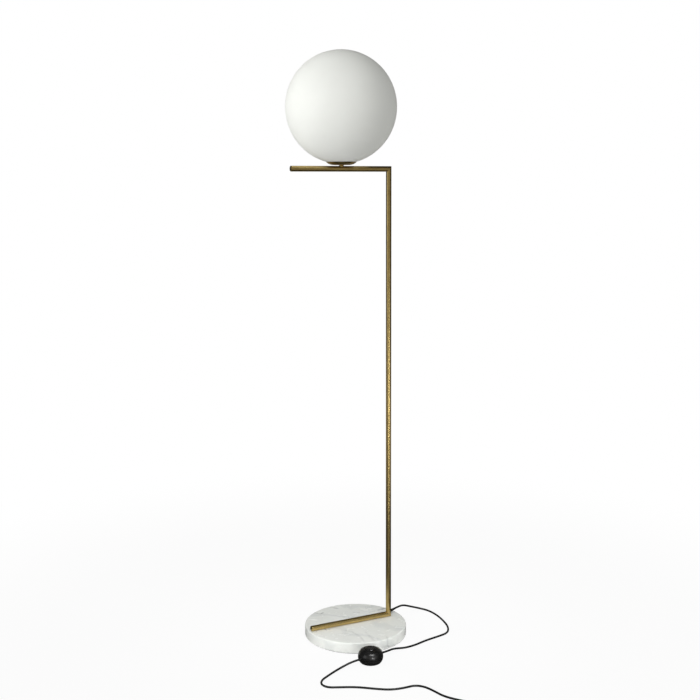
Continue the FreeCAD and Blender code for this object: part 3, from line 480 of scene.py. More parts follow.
def marble_material():
    """Polished white marble: cloudy grey ground, faint diagonal bands and a few dark veins."""
    settings = bpy.context.scene.lamp
    material, tree, shader, where = new_material("white_marble", {})
    wander = add(tree, "ShaderNodeTexNoise", {"Vector": where, "Scale": 24.0, "Detail": 5.0})
    shift = vectors(tree, "SCALE", vectors(tree, "SUBTRACT", wander.outputs[1], (0.5, 0.5, 0.5)), 0.030)
    bent = vectors(tree, "ADD", where, shift)
    cloud = effect(tree, "Mottle", bent, Scale=11.0, Detail=6.0, Low=0.34, High=0.70)["Mask"]
    fleck = effect(tree, "Mottle", bent, Scale=60.0, Detail=6.0, Low=0.42, High=0.75)["Mask"]
    bands = add(tree, "ShaderNodeTexWave", {
        "Vector": bent, "Scale": 5.0, "Distortion": 7.0, "Detail": 4.0, "Detail Scale": 1.6},
        bands_direction="DIAGONAL")
    ground = mixed(tree, ranged(tree, cloud, 0.0, 0.30), settings.marble_colour, CLOUD_GREY)
    ground = mixed(tree, ranged(tree, fleck, 0.0, 0.16), ground, FLECK_GREY)
    ground = mixed(tree, ranged(tree, bands.outputs[1], 0.0, 0.28, 0.80, 1.0), ground, BAND_GREY)

    rippled = vectors(tree, "ADD", where, vectors(tree, "SCALE", shift, 0.3))
    flat = vectors(tree, "MULTIPLY", rippled, (1, 1, 0))
    patchy = effect(tree, "Mottle", where, Scale=70.0, Low=0.38, High=0.60)["Mask"]
    veins = 0.0
    for start, end, width, dark in VEINS:
        vein = effect(tree, "Vein", flat, From=(*start, 0), To=(*end, 0), Width=width)["Mask"]
        veins = maths(tree, "MAXIMUM", veins, maths(tree, "MULTIPLY", vein, dark))
    veins = maths(tree, "MULTIPLY", veins, ranged(tree, patchy, 0.45, 1.0))
    feed(tree, shader, {
        "Base Color": mixed(tree, veins, ground, settings.vein_colour),
        "Roughness": ranged(tree, fleck, 0.20, 0.32)})
    return material


def opal_material():
    """Satin opal glass, white through and through, with faint waves from the blowing."""
    colour = bpy.context.scene.lamp.glass_colour
    material, tree, shader, where = new_material("opal_glass", {
        "Roughness": 0.42, "IOR": 1.5, "Subsurface Weight": 0.35, "Subsurface Radius": (1.0, 1.0, 1.0),
        "Subsurface Scale": 4 * MM})
    cloud = effect(tree, "Mottle", where, Scale=9.0, Detail=3.0, Low=0.3, High=0.7)["Mask"]
    waves = effect(tree, "Grain", where, Scale=28.0, Depth=0.0004, Strength=0.05)
    feed(tree, shader, {
        "Base Color": mixed(tree, cloud, colour, toned(colour, 0.975)),
        "Normal": waves["Normal"]})
    return material


def moulded_material(name, colour, smooth, rough, grain_scale=900.0, depth=0.00004, coat=0.0):
    """Moulded plastic or rubber: fine grain, slight unevenness in colour and gloss."""
    material, tree, shader, where = new_material(name, {"Coat Weight": coat, "Coat Roughness": 0.12})
    grain = effect(tree, "Grain", where, Scale=grain_scale, Depth=depth, Strength=0.35)
    patch = effect(tree, "Mottle", where, Scale=55.0, Low=0.3, High=0.7)["Mask"]
    feed(tree, shader, {
        "Base Color": mixed(tree, patch, colour, toned(colour, 1.35, 0.002)),
        "Roughness": ranged(tree, patch, smooth, rough),
        "Normal": grain["Normal"]})
    return material


def metal_material(name, colour, smooth, rough):
    """Plain turned or plated metal with fine tool lines."""
    material, tree, shader, where = new_material(name, {"Metallic": 1.0})
    brushed = effect(tree, "Brushed", where, Stretch=(900, 900, 60), Strength=0.15)
    feed(tree, shader, {
        "Base Color": mixed(tree, brushed["Mask"], toned(colour, 0.8), colour),
        "Roughness": ranged(tree, brushed["Mask"], smooth, rough),
        "Normal": brushed["Normal"]})
    return material


def felt_material():
    """Dense dark felt: short random fibres."""
    material, tree, shader, where = new_material("dark_felt", {"Roughness": 0.95, "Sheen Weight": 0.3})
    fibre = effect(tree, "Grain", where, Scale=1400.0, Depth=0.0003, Strength=0.8)
    feed(tree, shader, {
        "Base Color": mixed(tree, fibre["Mask"], (0.02, 0.02, 0.021), (0.07, 0.07, 0.072)),
        "Normal": fibre["Normal"]})
    return material


def make_materials():
    """Every shared effect and every material, by the record's slots."""
    settings = bpy.context.scene.lamp
    make_mottle_group()
    make_brushed_group()
    make_grain_group()
    make_vein_group()
    black = tuple(settings.switch_colour)
    cord = tuple(settings.cord_colour)
    return {
        "marble": marble_material(),
        "brass": brass_material("brushed_brass_arm", (25, 1400, 1400)),
        "brass_pole": brass_material("brushed_brass_pole", (1400, 1400, 25)),
        "brass_spun": brass_material("spun_brass", (300, 300, 2200)),
        "opal_glass": opal_material(),
        "bulb_glass": moulded_material("frosted_bulb", (0.80, 0.80, 0.78), 0.45, 0.6, 300.0),
        "felt": felt_material(),
        "zinc_steel": metal_material("zinc_steel", (0.62, 0.62, 0.63), 0.3, 0.5),
        "turned_brass": metal_material("turned_brass", (0.70, 0.52, 0.25), 0.25, 0.4),
        "aluminium": metal_material("turned_aluminium", (0.78, 0.78, 0.77), 0.3, 0.45),
        "silicone": moulded_material("silicone", (0.70, 0.70, 0.67), 0.5, 0.65, 500.0),
        "holder_plastic": moulded_material("holder_plastic", (0.03, 0.03, 0.03), 0.4, 0.55),
        "porcelain": moulded_material("porcelain", (0.80, 0.78, 0.74), 0.15, 0.25, 200.0, 0.00002, 0.3),
        "switch_plastic": moulded_material("switch_plastic", black, 0.24, 0.33, 1300.0, 0.00002, 0.15),
        "inner_plastic": moulded_material("inner_plastic", (0.40, 0.39, 0.35), 0.4, 0.5),
        "cord_rubber": moulded_material("cord_rubber", cord, 0.38, 0.52, 1600.0, 0.00003),
        "lead_insulation": moulded_material("lead_insulation", (0.20, 0.10, 0.04), 0.4, 0.5),
        "contact_brass": metal_material("contact_brass", (0.78, 0.62, 0.32), 0.2, 0.35),
        "spring_steel": metal_material("spring_steel", (0.55, 0.55, 0.56), 0.2, 0.3),
    }


# ---- cords

# Routes in metres. FLOOR is the height of the cord's middle where it lies on the floor.
FLOOR = 0.0023
EXIT = Vector((POLE_X, 0, 0.038))
EXIT_HEADING = math.radians(27.0)
SWITCH_HEADING = math.radians(9.0)
GRIP_REACH = 0.0345
GRIP_Z = 0.014
COIL_PLACE = Vector((0.048, -0.4705, 0.0029))
COIL_HEADING = math.radians(-46.0)
COIL_OUTER_RADIUS = 0.0309375
COIL_PITCH = 0.00475
COIL_HALF_TURNS = 6
COIL_POINTS = 8
COIL_LEAD = 0.0042


def plan(angle):
    """A level direction, by its angle from +X."""
    return Vector((math.cos(angle), math.sin(angle), 0))


def exit_point(distance):
    return EXIT + plan(EXIT_HEADING) * (TUBE_RADIUS + distance)


def grip_point(side, distance):
    return Vector((SWITCH_X, SWITCH_Y, GRIP_Z)) + plan(SWITCH_HEADING) * (side * (GRIP_REACH + distance))


def coil_start(distance):
    first = COIL_PLACE + plan(COIL_HEADING + math.pi / 2) * COIL_OUTER_RADIUS
    return first - plan(COIL_HEADING) * (COIL_LEAD + distance)


def lamp_route():
    """From the pole down to the floor, round the base and up to the foot switch."""
    return [
        exit_point(0.020), exit_point(0.0346),
        (0.150, 0.036, 0.032), (0.177, 0.049, 0.019), (0.204, 0.056, 0.0075), (0.226, 0.041, FLOOR),
        (0.230, 0.006, FLOOR), (0.226, -0.034, FLOOR), (0.217, -0.072, FLOOR), (0.198, -0.102, FLOOR),
        (0.166, -0.110, FLOOR), (0.128, -0.117, FLOOR), (0.092, -0.129, FLOOR), (0.063, -0.132, FLOOR),
        (0.043, -0.130, 0.0043), (0.024, -0.140, 0.0098),
        grip_point(1, 0.015), grip_point(1, 0.0),
    ]


def plug_route():
    """From the foot switch over the floor to the coil."""
    return [
        grip_point(-1, 0.0), grip_point(-1, 0.014),
        (-0.108, -0.167, 0.0085), (-0.132, -0.170, 0.0025), (-0.158, -0.185, FLOOR),
        (-0.181, -0.1995, FLOOR), (-0.1903, -0.2182, FLOOR), (-0.1833, -0.2372, FLOOR),
        (-0.159, -0.2477, FLOOR), (-0.126, -0.263, FLOOR), (-0.095, -0.288, FLOOR),
        (-0.067, -0.307, FLOOR), (-0.037, -0.312, FLOOR), (-0.011, -0.311, FLOOR),
        (0.005, -0.326, FLOOR), (0.013, -0.353, FLOOR), (0.019, -0.384, FLOOR),
        coil_start(0.036),
    ]


def coil_turns():
    """The spline's points round the coil: in on the floor, up at the middle, out on top."""
    heading = plan(COIL_HEADING)
    outward = plan(COIL_HEADING + math.pi / 2)
    spiral = [COIL_OUTER_RADIUS - COIL_PITCH / 2 * turn for turn in range(COIL_HALF_TURNS + 1)]
    climb = spiral[-1]
    points = []
    place_now = outward * COIL_OUTER_RADIUS
    height = 0.0
    side = 1
    for radius in spiral + spiral[-2::-1]:
        centre = place_now - outward * (radius * side)
        rise = COIL_PITCH if radius == climb else 0.0
        bulge = radius / math.cos(math.pi / (2 * COIL_POINTS))
        for index in range(COIL_POINTS):
            angle = math.pi * (index + 0.5) / COIL_POINTS
            level = height + rise * (1 - math.cos(angle)) / 2
            spot = centre + (outward * math.cos(angle) + heading * math.sin(angle)) * (bulge * side)
            points.append(COIL_PLACE + spot + UP * level)
        place_now = place_now - outward * (2 * radius * side)
        height += rise
        side = -side
    last = COIL_PLACE + place_now + UP * height
    end = last + heading * (side * COIL_LEAD)
    return points + [last.lerp(end, 0.4), end]


def smooth_cord(name, points, radius):
    """A cord on one smooth spline whose control points are the route's."""
    curve = bpy.data.curves.new(name, "CURVE")
    curve.dimensions = "3D"
    curve.bevel_depth = radius
    curve.bevel_resolution = 4
    curve.resolution_u = 10
    curve.use_fill_caps = True
    spline = curve.splines.new("NURBS")
    spline.points.add(len(points) - 1)
    for target, point in zip(spline.points, points):
        target.co = (*point, 1.0)
    spline.order_u = 3
    spline.use_endpoint_u = True
    return link(name, curve)


def spline_length(piece):
    """Length of a cord's own spline, read from a copy of the curve with no bevel."""
    thin = link("cord_line", piece.data.copy())
    thin.data.bevel_depth = 0.0
    line = plain_mesh(thin)
    corners = line.vertices
    total = sum((corners[edge.vertices[0]].co - corners[edge.vertices[1]].co).length for edge in line.edges)
    bpy.data.meshes.remove(line)
    bpy.data.curves.remove(thin.data)
    return total


class LAMP_OT_cords(bpy.types.Operator):
    """Builds the cord from the pole to the foot switch, and on to the coil and the plug"""
    bl_idname = "lamp.cords"
    bl_label = "Cords"

    def execute(self, context):
        radius = context.scene.lamp.cord_diameter / 2
        first = smooth_cord("cord_to_switch", lamp_route(), radius)
        finished(first, "cord_rubber", "cord_lamp_side")
        second = smooth_cord("cord_to_plug", plug_route() + coil_turns(), radius)
        finished(second, "cord_rubber", "cord_plug_side", "cord_coil")
        return {"FINISHED"}


def declare_cords():
    """Works out the length of each cord's spline; the lengths are not kept."""
    first = bpy.data.objects["cord_to_switch"]
    second = bpy.data.objects["cord_to_plug"]
    round(spline_length(first), 3)
    round(spline_length(second), 3)


# ---- strain reliefs, tie and plug

def ribbed_sleeve_tree():
    """Geometry nodes: a tapered sleeve along X with raised rings, from named sizes."""
    steps_to_a_ring = 12.0
    groove_below = -0.2
    tree = bpy.data.node_groups.new("Ribbed sleeve", "GeometryNodeTree")
    for key, kind in (("Length", "Float"), ("Root radius", "Float"), ("Tip radius", "Float"),
                      ("Rings", "Int"), ("Ring depth", "Float"), ("Material", "Material")):
        tree.interface.new_socket(key, in_out="INPUT", socket_type="NodeSocket" + kind)
    tree.interface.new_socket("Geometry", in_out="OUTPUT", socket_type="NodeSocketGeometry")
    given = tree.nodes.new("NodeGroupInput").outputs

    end = add(tree, "ShaderNodeCombineXYZ", {"X": given["Length"]})
    line = add(tree, "GeometryNodeCurvePrimitiveLine", {"End": end.outputs[0]})
    count = maths(tree, "MULTIPLY", given["Rings"], steps_to_a_ring)
    fine = add(tree, "GeometryNodeResampleCurve", {"Curve": line.outputs[0], "Count": count})
    share = add(tree, "GeometryNodeSplineParameter").outputs["Factor"]
    taper = ranged(tree, share, given["Root radius"], given["Tip radius"])
    angle = maths(tree, "MULTIPLY", maths(tree, "MULTIPLY", share, given["Rings"]), 2 * math.pi)
    raised = maths(tree, "GREATER_THAN", maths(tree, "SINE", angle), groove_below)
    radius = maths(tree, "SUBTRACT", taper, maths(tree, "MULTIPLY", raised, given["Ring depth"]))
    profile = add(tree, "GeometryNodeCurvePrimitiveCircle", {"Resolution": 48, "Radius": 1.0})
    sleeve = add(tree, "GeometryNodeCurveToMesh", {
        "Curve": fine.outputs[0], "Profile Curve": profile.outputs[0], "Scale": radius, "Fill Caps": True})
    real = add(tree, "GeometryNodeRealizeInstances", {0: sleeve.outputs[0]})
    painted = add(tree, "GeometryNodeSetMaterial", {0: real.outputs[0], "Material": given["Material"]})
    feed(tree, tree.nodes.new("NodeGroupOutput"), {0: painted.outputs[0]})
    return tree


def ribbed_sleeve(name, turn, **sizes):
    """A ribbed sleeve of rubber as a plain mesh, placed by a matrix."""
    tree = bpy.data.node_groups.get("Ribbed sleeve") or ribbed_sleeve_tree()
    host = link(name + "_source", bpy.data.meshes.new(name + "_source"))
    modifier = host.modifiers.new("shape", "NODES")
    modifier.node_group = tree
    values = {"Material": MATERIALS["cord_rubber"]}
    values.update({key.replace("_", " "): value for key, value in sizes.items()})
    for item in tree.interface.items_tree:
        if item.name in values:
            modifier[item.identifier] = values[item.name]
    mesh = plain_mesh(host)
    bpy.data.objects.remove(host)
    shape = bmesh.new()
    shape.from_mesh(mesh)
    bpy.data.meshes.remove(mesh)
    made = from_bmesh(name, shape, 30.0)
    made.data.transform(turn)
    return made


class LAMP_OT_plug(bpy.types.Operator):
    """Builds the plug, its strain relief, and the tie round the coil"""
    bl_idname = "lamp.plug"
    bl_label = "Plug and tie"

    def execute(self, context):
        turn = frame_along(coil_turns()[-1], -plan(COIL_HEADING))
        relief = ribbed_sleeve("plug_strain_relief", turn, Length=24.5 * MM, Root_radius=2.6 * MM,
                               Tip_radius=4.1 * MM, Rings=9, Ring_depth=0.5 * MM)
        finished(relief, "cord_rubber", "plug_relief")
        self.shell(turn)
        self.tie()
        return {"FINISHED"}

    def shell(self, turn):
        """A flat body that swells from the cord, with a waist for the fingers."""
        # In millimetres: place along it, half width, half height, corner radius
        sections = [
            (24.0, 5.2, 5.2, 5.0), (24.8, 6.4, 6.2, 5.5), (27.5, 7.8, 7.0, 5.2), (33.0, 10.0, 7.3, 4.8),
            (39.0, 13.0, 7.4, 4.5), (44.0, 16.0, 7.4, 4.2), (48.0, 16.8, 7.4, 4.0), (54.0, 16.8, 7.4, 4.0),
            (56.6, 16.6, 7.2, 3.8), (57.6, 15.8, 6.4, 3.6), (58.0, 14.8, 5.4, 3.4),
        ]
        shape = bmesh.new()
        rings = []
        for along, half_width, half_height, corner in in_metres(sections):
            rings.append([shape.verts.new(turn @ Vector((along, u, v)))
                          for u, v in rounded_rectangle(half_width, half_height, corner)])
        skin(shape, rings, closed=False)
        shape.faces.new(rings[0])
        shape.faces.new(rings[-1])
        finished(from_bmesh("plug_shell", shape), "switch_plastic", "plug_body")

    def tie(self):
        """A flat band round the coil's turns."""
        step = COIL_PITCH / 2
        slack = FLOOR + 1 * MM
        inner = COIL_OUTER_RADIUS - step * (COIL_HALF_TURNS - 1) - slack
        outer = COIL_OUTER_RADIUS - step + slack
        low, high = span("cord_tie", 2)
        thick = 0.6 * MM
        half_band = 3 * MM
        half_width = (outer - inner) / 2 + thick / 2
        half_height = (high - low) / 2 - thick / 2
        out = -plan(COIL_HEADING)
        sideways = plan(COIL_HEADING + math.pi / 2) * half_band
        centre = Vector((COIL_PLACE.x, COIL_PLACE.y, (low + high) / 2)) + out * ((inner + outer) / 2)
        shape = bmesh.new()
        rings = []
        for u, v in rounded_rectangle(half_width, half_height, 3.2 * MM, 8):
            normal = Vector((u / half_width, v / half_height)).normalized() * (thick / 2)
            outside = centre + out * (u + normal.x) + UP * (v + normal.y)
            inside = centre + out * (u - normal.x) + UP * (v - normal.y)
            rings.append([shape.verts.new(spot) for spot in (
                outside + sideways, outside - sideways, inside - sideways, inside + sideways)])
        skin(shape, rings, closed=True)
        finished(from_bmesh("coil_tie", shape), "cord_rubber", "cord_tie")


class LAMP_OT_strain_relief(bpy.types.Operator):
    """Builds the ribbed strain relief where the cord leaves the pole"""
    bl_idname = "lamp.strain_relief"
    bl_label = "Strain relief"

    def execute(self, context):
        turn = frame_along(exit_point(-0.8 * MM), plan(EXIT_HEADING))
        relief = ribbed_sleeve("pole_strain_relief", turn, Length=20.8 * MM, Root_radius=3.7 * MM,
                               Tip_radius=2.6 * MM, Rings=7, Ring_depth=0.45 * MM)
        finished(relief, "cord_rubber", "strain_relief")
        return {"FINISHED"}


# ---- base

class LAMP_OT_base(bpy.types.Operator):
    """Builds the round marble base"""
    bl_idname = "lamp.base"
    bl_label = "Marble base"

    def execute(self, context):
        outline = softened([
            (0.0, BASE_LOW), (BASE_RADIUS, BASE_LOW, 3 * MM), (BASE_RADIUS, BASE_TOP, 4 * MM),
            (0.0, BASE_TOP)], 8)
        finished(lathe("marble_disc", outline, segments=256), "marble", "marble_base")
        return {"FINISHED"}


# ---- brass frame

def tube(name, start, stop, place_point):
    """A tube whose ends may be cut aslant. Each end is its place on the tube's line and its slope."""
    wall = 1 * MM
    bevel = 0.15 * MM
    outer = TUBE_RADIUS
    inner = outer - wall
    shape = bmesh.new()
    rings = []
    for (along, slope), radius, shift in (
            (start, inner, 0), (start, outer - bevel, 0), (start, outer, bevel),
            (stop, outer, -bevel), (stop, outer - bevel, 0), (stop, inner, 0)):
        rings.append([shape.verts.new(place_point(along + shift + slope * a, a, b))
                      for a, b in circle(radius, 96)])
    skin(shape, rings, closed=True)
    return from_bmesh(name, shape, 25.0)


class LAMP_OT_frame_tubes(bpy.types.Operator):
    """Builds the two arms, the pole and the arms' end caps"""
    bl_idname = "lamp.frame_tubes"
    bl_label = "Brass frame"

    def execute(self, context):
        levels = {"upper": (UPPER_Z, 1), "lower": (LOWER_Z, -1)}
        for level, (height, slope) in levels.items():
            arm = tube(level + "_arm_tube", (span(level + "_arm", 0)[0], 0), (POLE_X, slope),
                       lambda along, a, b: (along, b, height + a))
            finished(arm, "brass", level + "_arm")
        pole = tube("pole_tube", (LOWER_Z, -1), (UPPER_Z, 1), lambda along, a, b: (POLE_X + a, b, along))
        finished(pole, "brass", "pole", finish="brass_pole")
        for level, (height, _) in levels.items():
            self.end_cap(level, height)
        return {"FINISHED"}

    def end_cap(self, level, height):
        """A domed disc with a spigot inside the tube. Its outline is in millimetres."""
        cap_x = span(level + "_arm_cap", 0)[0]
        thickness = (span(level + "_arm", 0)[0] - cap_x) / MM
        radius = TUBE_RADIUS / MM
        back = thickness + 8
        outline = softened([
            (0.0, 0.0), (radius - 0.2, 0.0, 0.7), (radius, thickness, 0.15), (radius - 1.1, thickness, 0),
            (radius - 1.1, back, 0.4), (0.0, back)], 5)
        turn = Matrix.Translation((cap_x, 0, height)) @ Matrix.Rotation(math.pi / 2, 4, "Y")
        cap = lathe(level + "_end_cap", in_metres(outline), turn=turn, segments=96)
        finished(cap, "brass", level + "_arm_cap", finish="brass_spun")


class LAMP_OT_dish(bpy.types.Operator):
    """Builds the spun brass dish and the stem below it"""
    bl_idname = "lamp.dish"
    bl_label = "Dish and stem"

    def execute(self, context):
        low, high = span("brass_dish", 2)
        rim = half("brass_dish", 0)
        flat = 18 * MM
        sheet = 1 * MM
        bore = 4.04 * MM
        lip = 2.4
        depth = high - low
        curve = ((rim - flat) ** 2 + depth ** 2) / (2 * depth)
        centre = (flat, low + curve)
        lean = math.degrees(math.atan2(rim - flat, curve - depth))
        outside = arc(centre, curve, -90, -90 + lean, 20)
        inside = arc(centre, curve - sheet, -90 + lean - lip, -90, 20)
        dish = lathe("spun_dish", [(bore, low), *outside, *inside, (bore, low + sheet)],
                     x=GLOBE_X, segments=160)
        finished(dish, "brass", "brass_dish", finish="brass_spun")

        radius = half("stem", 0) / MM
        foot = (UPPER_Z + TUBE_RADIUS) / MM - 2.5
        top = low / MM
        outline = softened([
            (0.0, foot), (radius, foot, 0), (radius, foot + 3.6, 0.3), (radius - 0.7, foot + 4.2, 0.2),
            (radius - 0.7, top - 0.9, 0.2), (radius + 0.6, top - 0.5, 0.2), (radius + 0.6, top, 0.1),
            (0.0, top)], 3)
        stem = lathe("dish_stem", in_metres(outline), x=GLOBE_X, segments=96)
        finished(stem, "brass", "stem", finish="brass_spun")
        return {"FINISHED"}


# ---- globe

class LAMP_OT_globe(bpy.types.Operator):
    """Builds the blown opal glass globe"""
    bl_idname = "lamp.globe"
    bl_label = "Glass globe"

    def execute(self, context):
        hole = 26.6 * MM
        centre = (0.0, GLOBE_CENTRE_Z)
        inner = GLOBE_RADIUS - context.scene.lamp.glass_wall
        outer_start = math.degrees(math.asin((GLOBE_BOTTOM_Z - GLOBE_CENTRE_Z) / GLOBE_RADIUS))
        inner_start = -math.degrees(math.acos(hole / inner))
        outline = arc(centre, GLOBE_RADIUS, outer_start, 90, 110) + arc(centre, inner, 90, inner_start, 80)
        globe = lathe("opal_globe", outline, x=GLOBE_X, segments=192, sharp_angle=50.0)
        finished(globe, "opal_glass", "glass_globe", body="globe")
        return {"FINISHED"}


# ---- foot switch

class LAMP_OT_foot_switch(bpy.types.Operator):
    """Builds the round foot switch: shells, button and cord grips"""
    bl_idname = "lamp.foot_switch"
    bl_label = "Foot switch"

    def execute(self, context):
        """Outlines in millimetres, from the switch's rim, the joint of its shells and its crown."""
        rim = SWITCH_RADIUS / MM
        joint = span("switch_cover", 2)[0] / MM
        crown = SWITCH_TOP / MM + 1.2
        foot = 24.0
        seam = joint - 0.25
        base = softened([
            (0.0, 1.0), (foot - 1.0, 1.0, 0.8),
            *arc_through((foot, 2.0), (rim - 1.3, 7.6), (rim, seam), 14),
            (rim - 1.6, seam, 0.2), (foot - 1.6, 3.0, 0.3), (0.0, 3.0)], 5)
        self.turned("foot_switch_base", base, 160, "switch_base")

        lip = crown - 3.4
        hole = 13.15
        cover = softened([
            (rim - 2.0, joint, 0.2), (rim, joint, 0.3),
            *arc_through((rim - 0.1, joint + 2.4), (rim - 3.0, lip - 6.2), (16.6, lip + 0.2), 24),
            (15.4, lip + 0.45, 0.3), (14.2, lip + 0.35, 0.4), (hole, lip - 0.3, 0.3),
            (hole, lip - 2.0, 0.2), (16.6, lip - 2.0, 1), (rim - 5.4, lip - 7.2, 3),
            (rim - 2.2, joint + 3.0, 1)], 4, closed=True)
        self.turned("foot_switch_cover", cover, 160, "switch_cover")

        low = span("switch_button", 2)[0] / MM
        side = 12.8
        flange = crown - 5.7
        skirt = flange - 3.0
        cap = softened([
            (0.0, crown - 1.0), (7.2, crown - 0.8, 0.8), (8.6, crown - 0.05, 0.6), (9.8, crown - 0.1, 0.6),
            (10.6, crown - 0.8, 0.5), (side - 0.4, crown - 1.2, 0.8), (side, crown - 3.6, 0.3),
            (side, flange, 0), (14.2, flange, 0), (14.2, skirt, 0), (11.2, skirt, 0),
            (11.2, crown - 3.2, 0), (5.0, crown - 2.9, 0), (5.0, low, 0.2), (0.0, low)], 4)
        self.turned("foot_switch_button", cap, 128, "switch_button", body="switch_button")
        self.grips()
        return {"FINISHED"}

    def turned(self, name, outline, segments, node, body="lamp"):
        piece = lathe(name, in_metres(outline), x=SWITCH_X, y=SWITCH_Y, segments=segments)
        finished(piece, "switch_plastic", node, body=body)

    def grips(self):
        """Both cord grips, as one piece."""
        shape = bmesh.new()
        for side in (-1, 1):
            turn = frame_along(grip_point(side, -10 * MM), plan(SWITCH_HEADING) * side)
            grip = ribbed_sleeve("grip", turn, Length=10 * MM, Root_radius=3.4 * MM,
                                 Tip_radius=2.6 * MM, Rings=3, Ring_depth=0.4 * MM)
            shape.from_mesh(grip.data)
            bpy.data.objects.remove(grip)
        finished(from_bmesh("foot_switch_grips", shape, 30.0), "cord_rubber", "switch_grips")


# ---- inner parts and stage

class LAMP_OT_inner_parts(bpy.types.Operator):
    """Gives every CAD piece that stays its material"""
    bl_idname = "lamp.inner_parts"
    bl_label = "Inner parts"

    def execute(self, context):
        slots = {row["node"]: row["material_slot"] for row in frame["record"]["subparts"]}
        for node, piece in frame["nodes"].items():
            if not piece.hide_render:
                piece.data.materials.clear()
                piece.data.materials.append(MATERIALS[slots[node]])
        return {"FINISHED"}


# Camera: metres, degrees, and the focal length in pixels of a 700 px frame
CAMERA_PLACE = (-1.1024, -2.2494, 1.0670)
CAMERA_AZIMUTH = -25.8708
CAMERA_PITCH = 8.527
CAMERA_ROLL = -0.2558
FOCAL_PIXELS = 1091.4
FRAME_PIXELS = 700
SENSOR = 36.0

# Stage, in metres: the floor turns plain white between the two distances from the lamp
FLOOR_REACH = 30.0
SHADING_ENDS = (0.5, 1.6)
CARD_DISTANCE = 4.0
CARD_HEIGHT = 3.0
CARD_STEPS = 24
WHITE = (1, 1, 1, 1)
WARM_WHITE = (1.0, 0.95, 0.85, 1)
FILL_WHITE = (1.0, 1.0, 0.985, 1)


def round_stage(aside, distance, height):
    """A point round the stage, by its angle to the right of the camera in degrees."""
    angle = math.radians(CAMERA_AZIMUTH + aside)
    return Vector((math.sin(angle), -math.cos(angle), 0)) * distance + UP * height


def seen_by_ray(tree):
    """1 for rays from the camera and those that gloss or glass sends on, otherwise 0."""
    path = add(tree, "ShaderNodeLightPath").outputs
    seen = maths(tree, "MAXIMUM", path["Is Camera Ray"], path["Is Glossy Ray"])
    return maths(tree, "MAXIMUM", seen, path["Is Transmission Ray"])


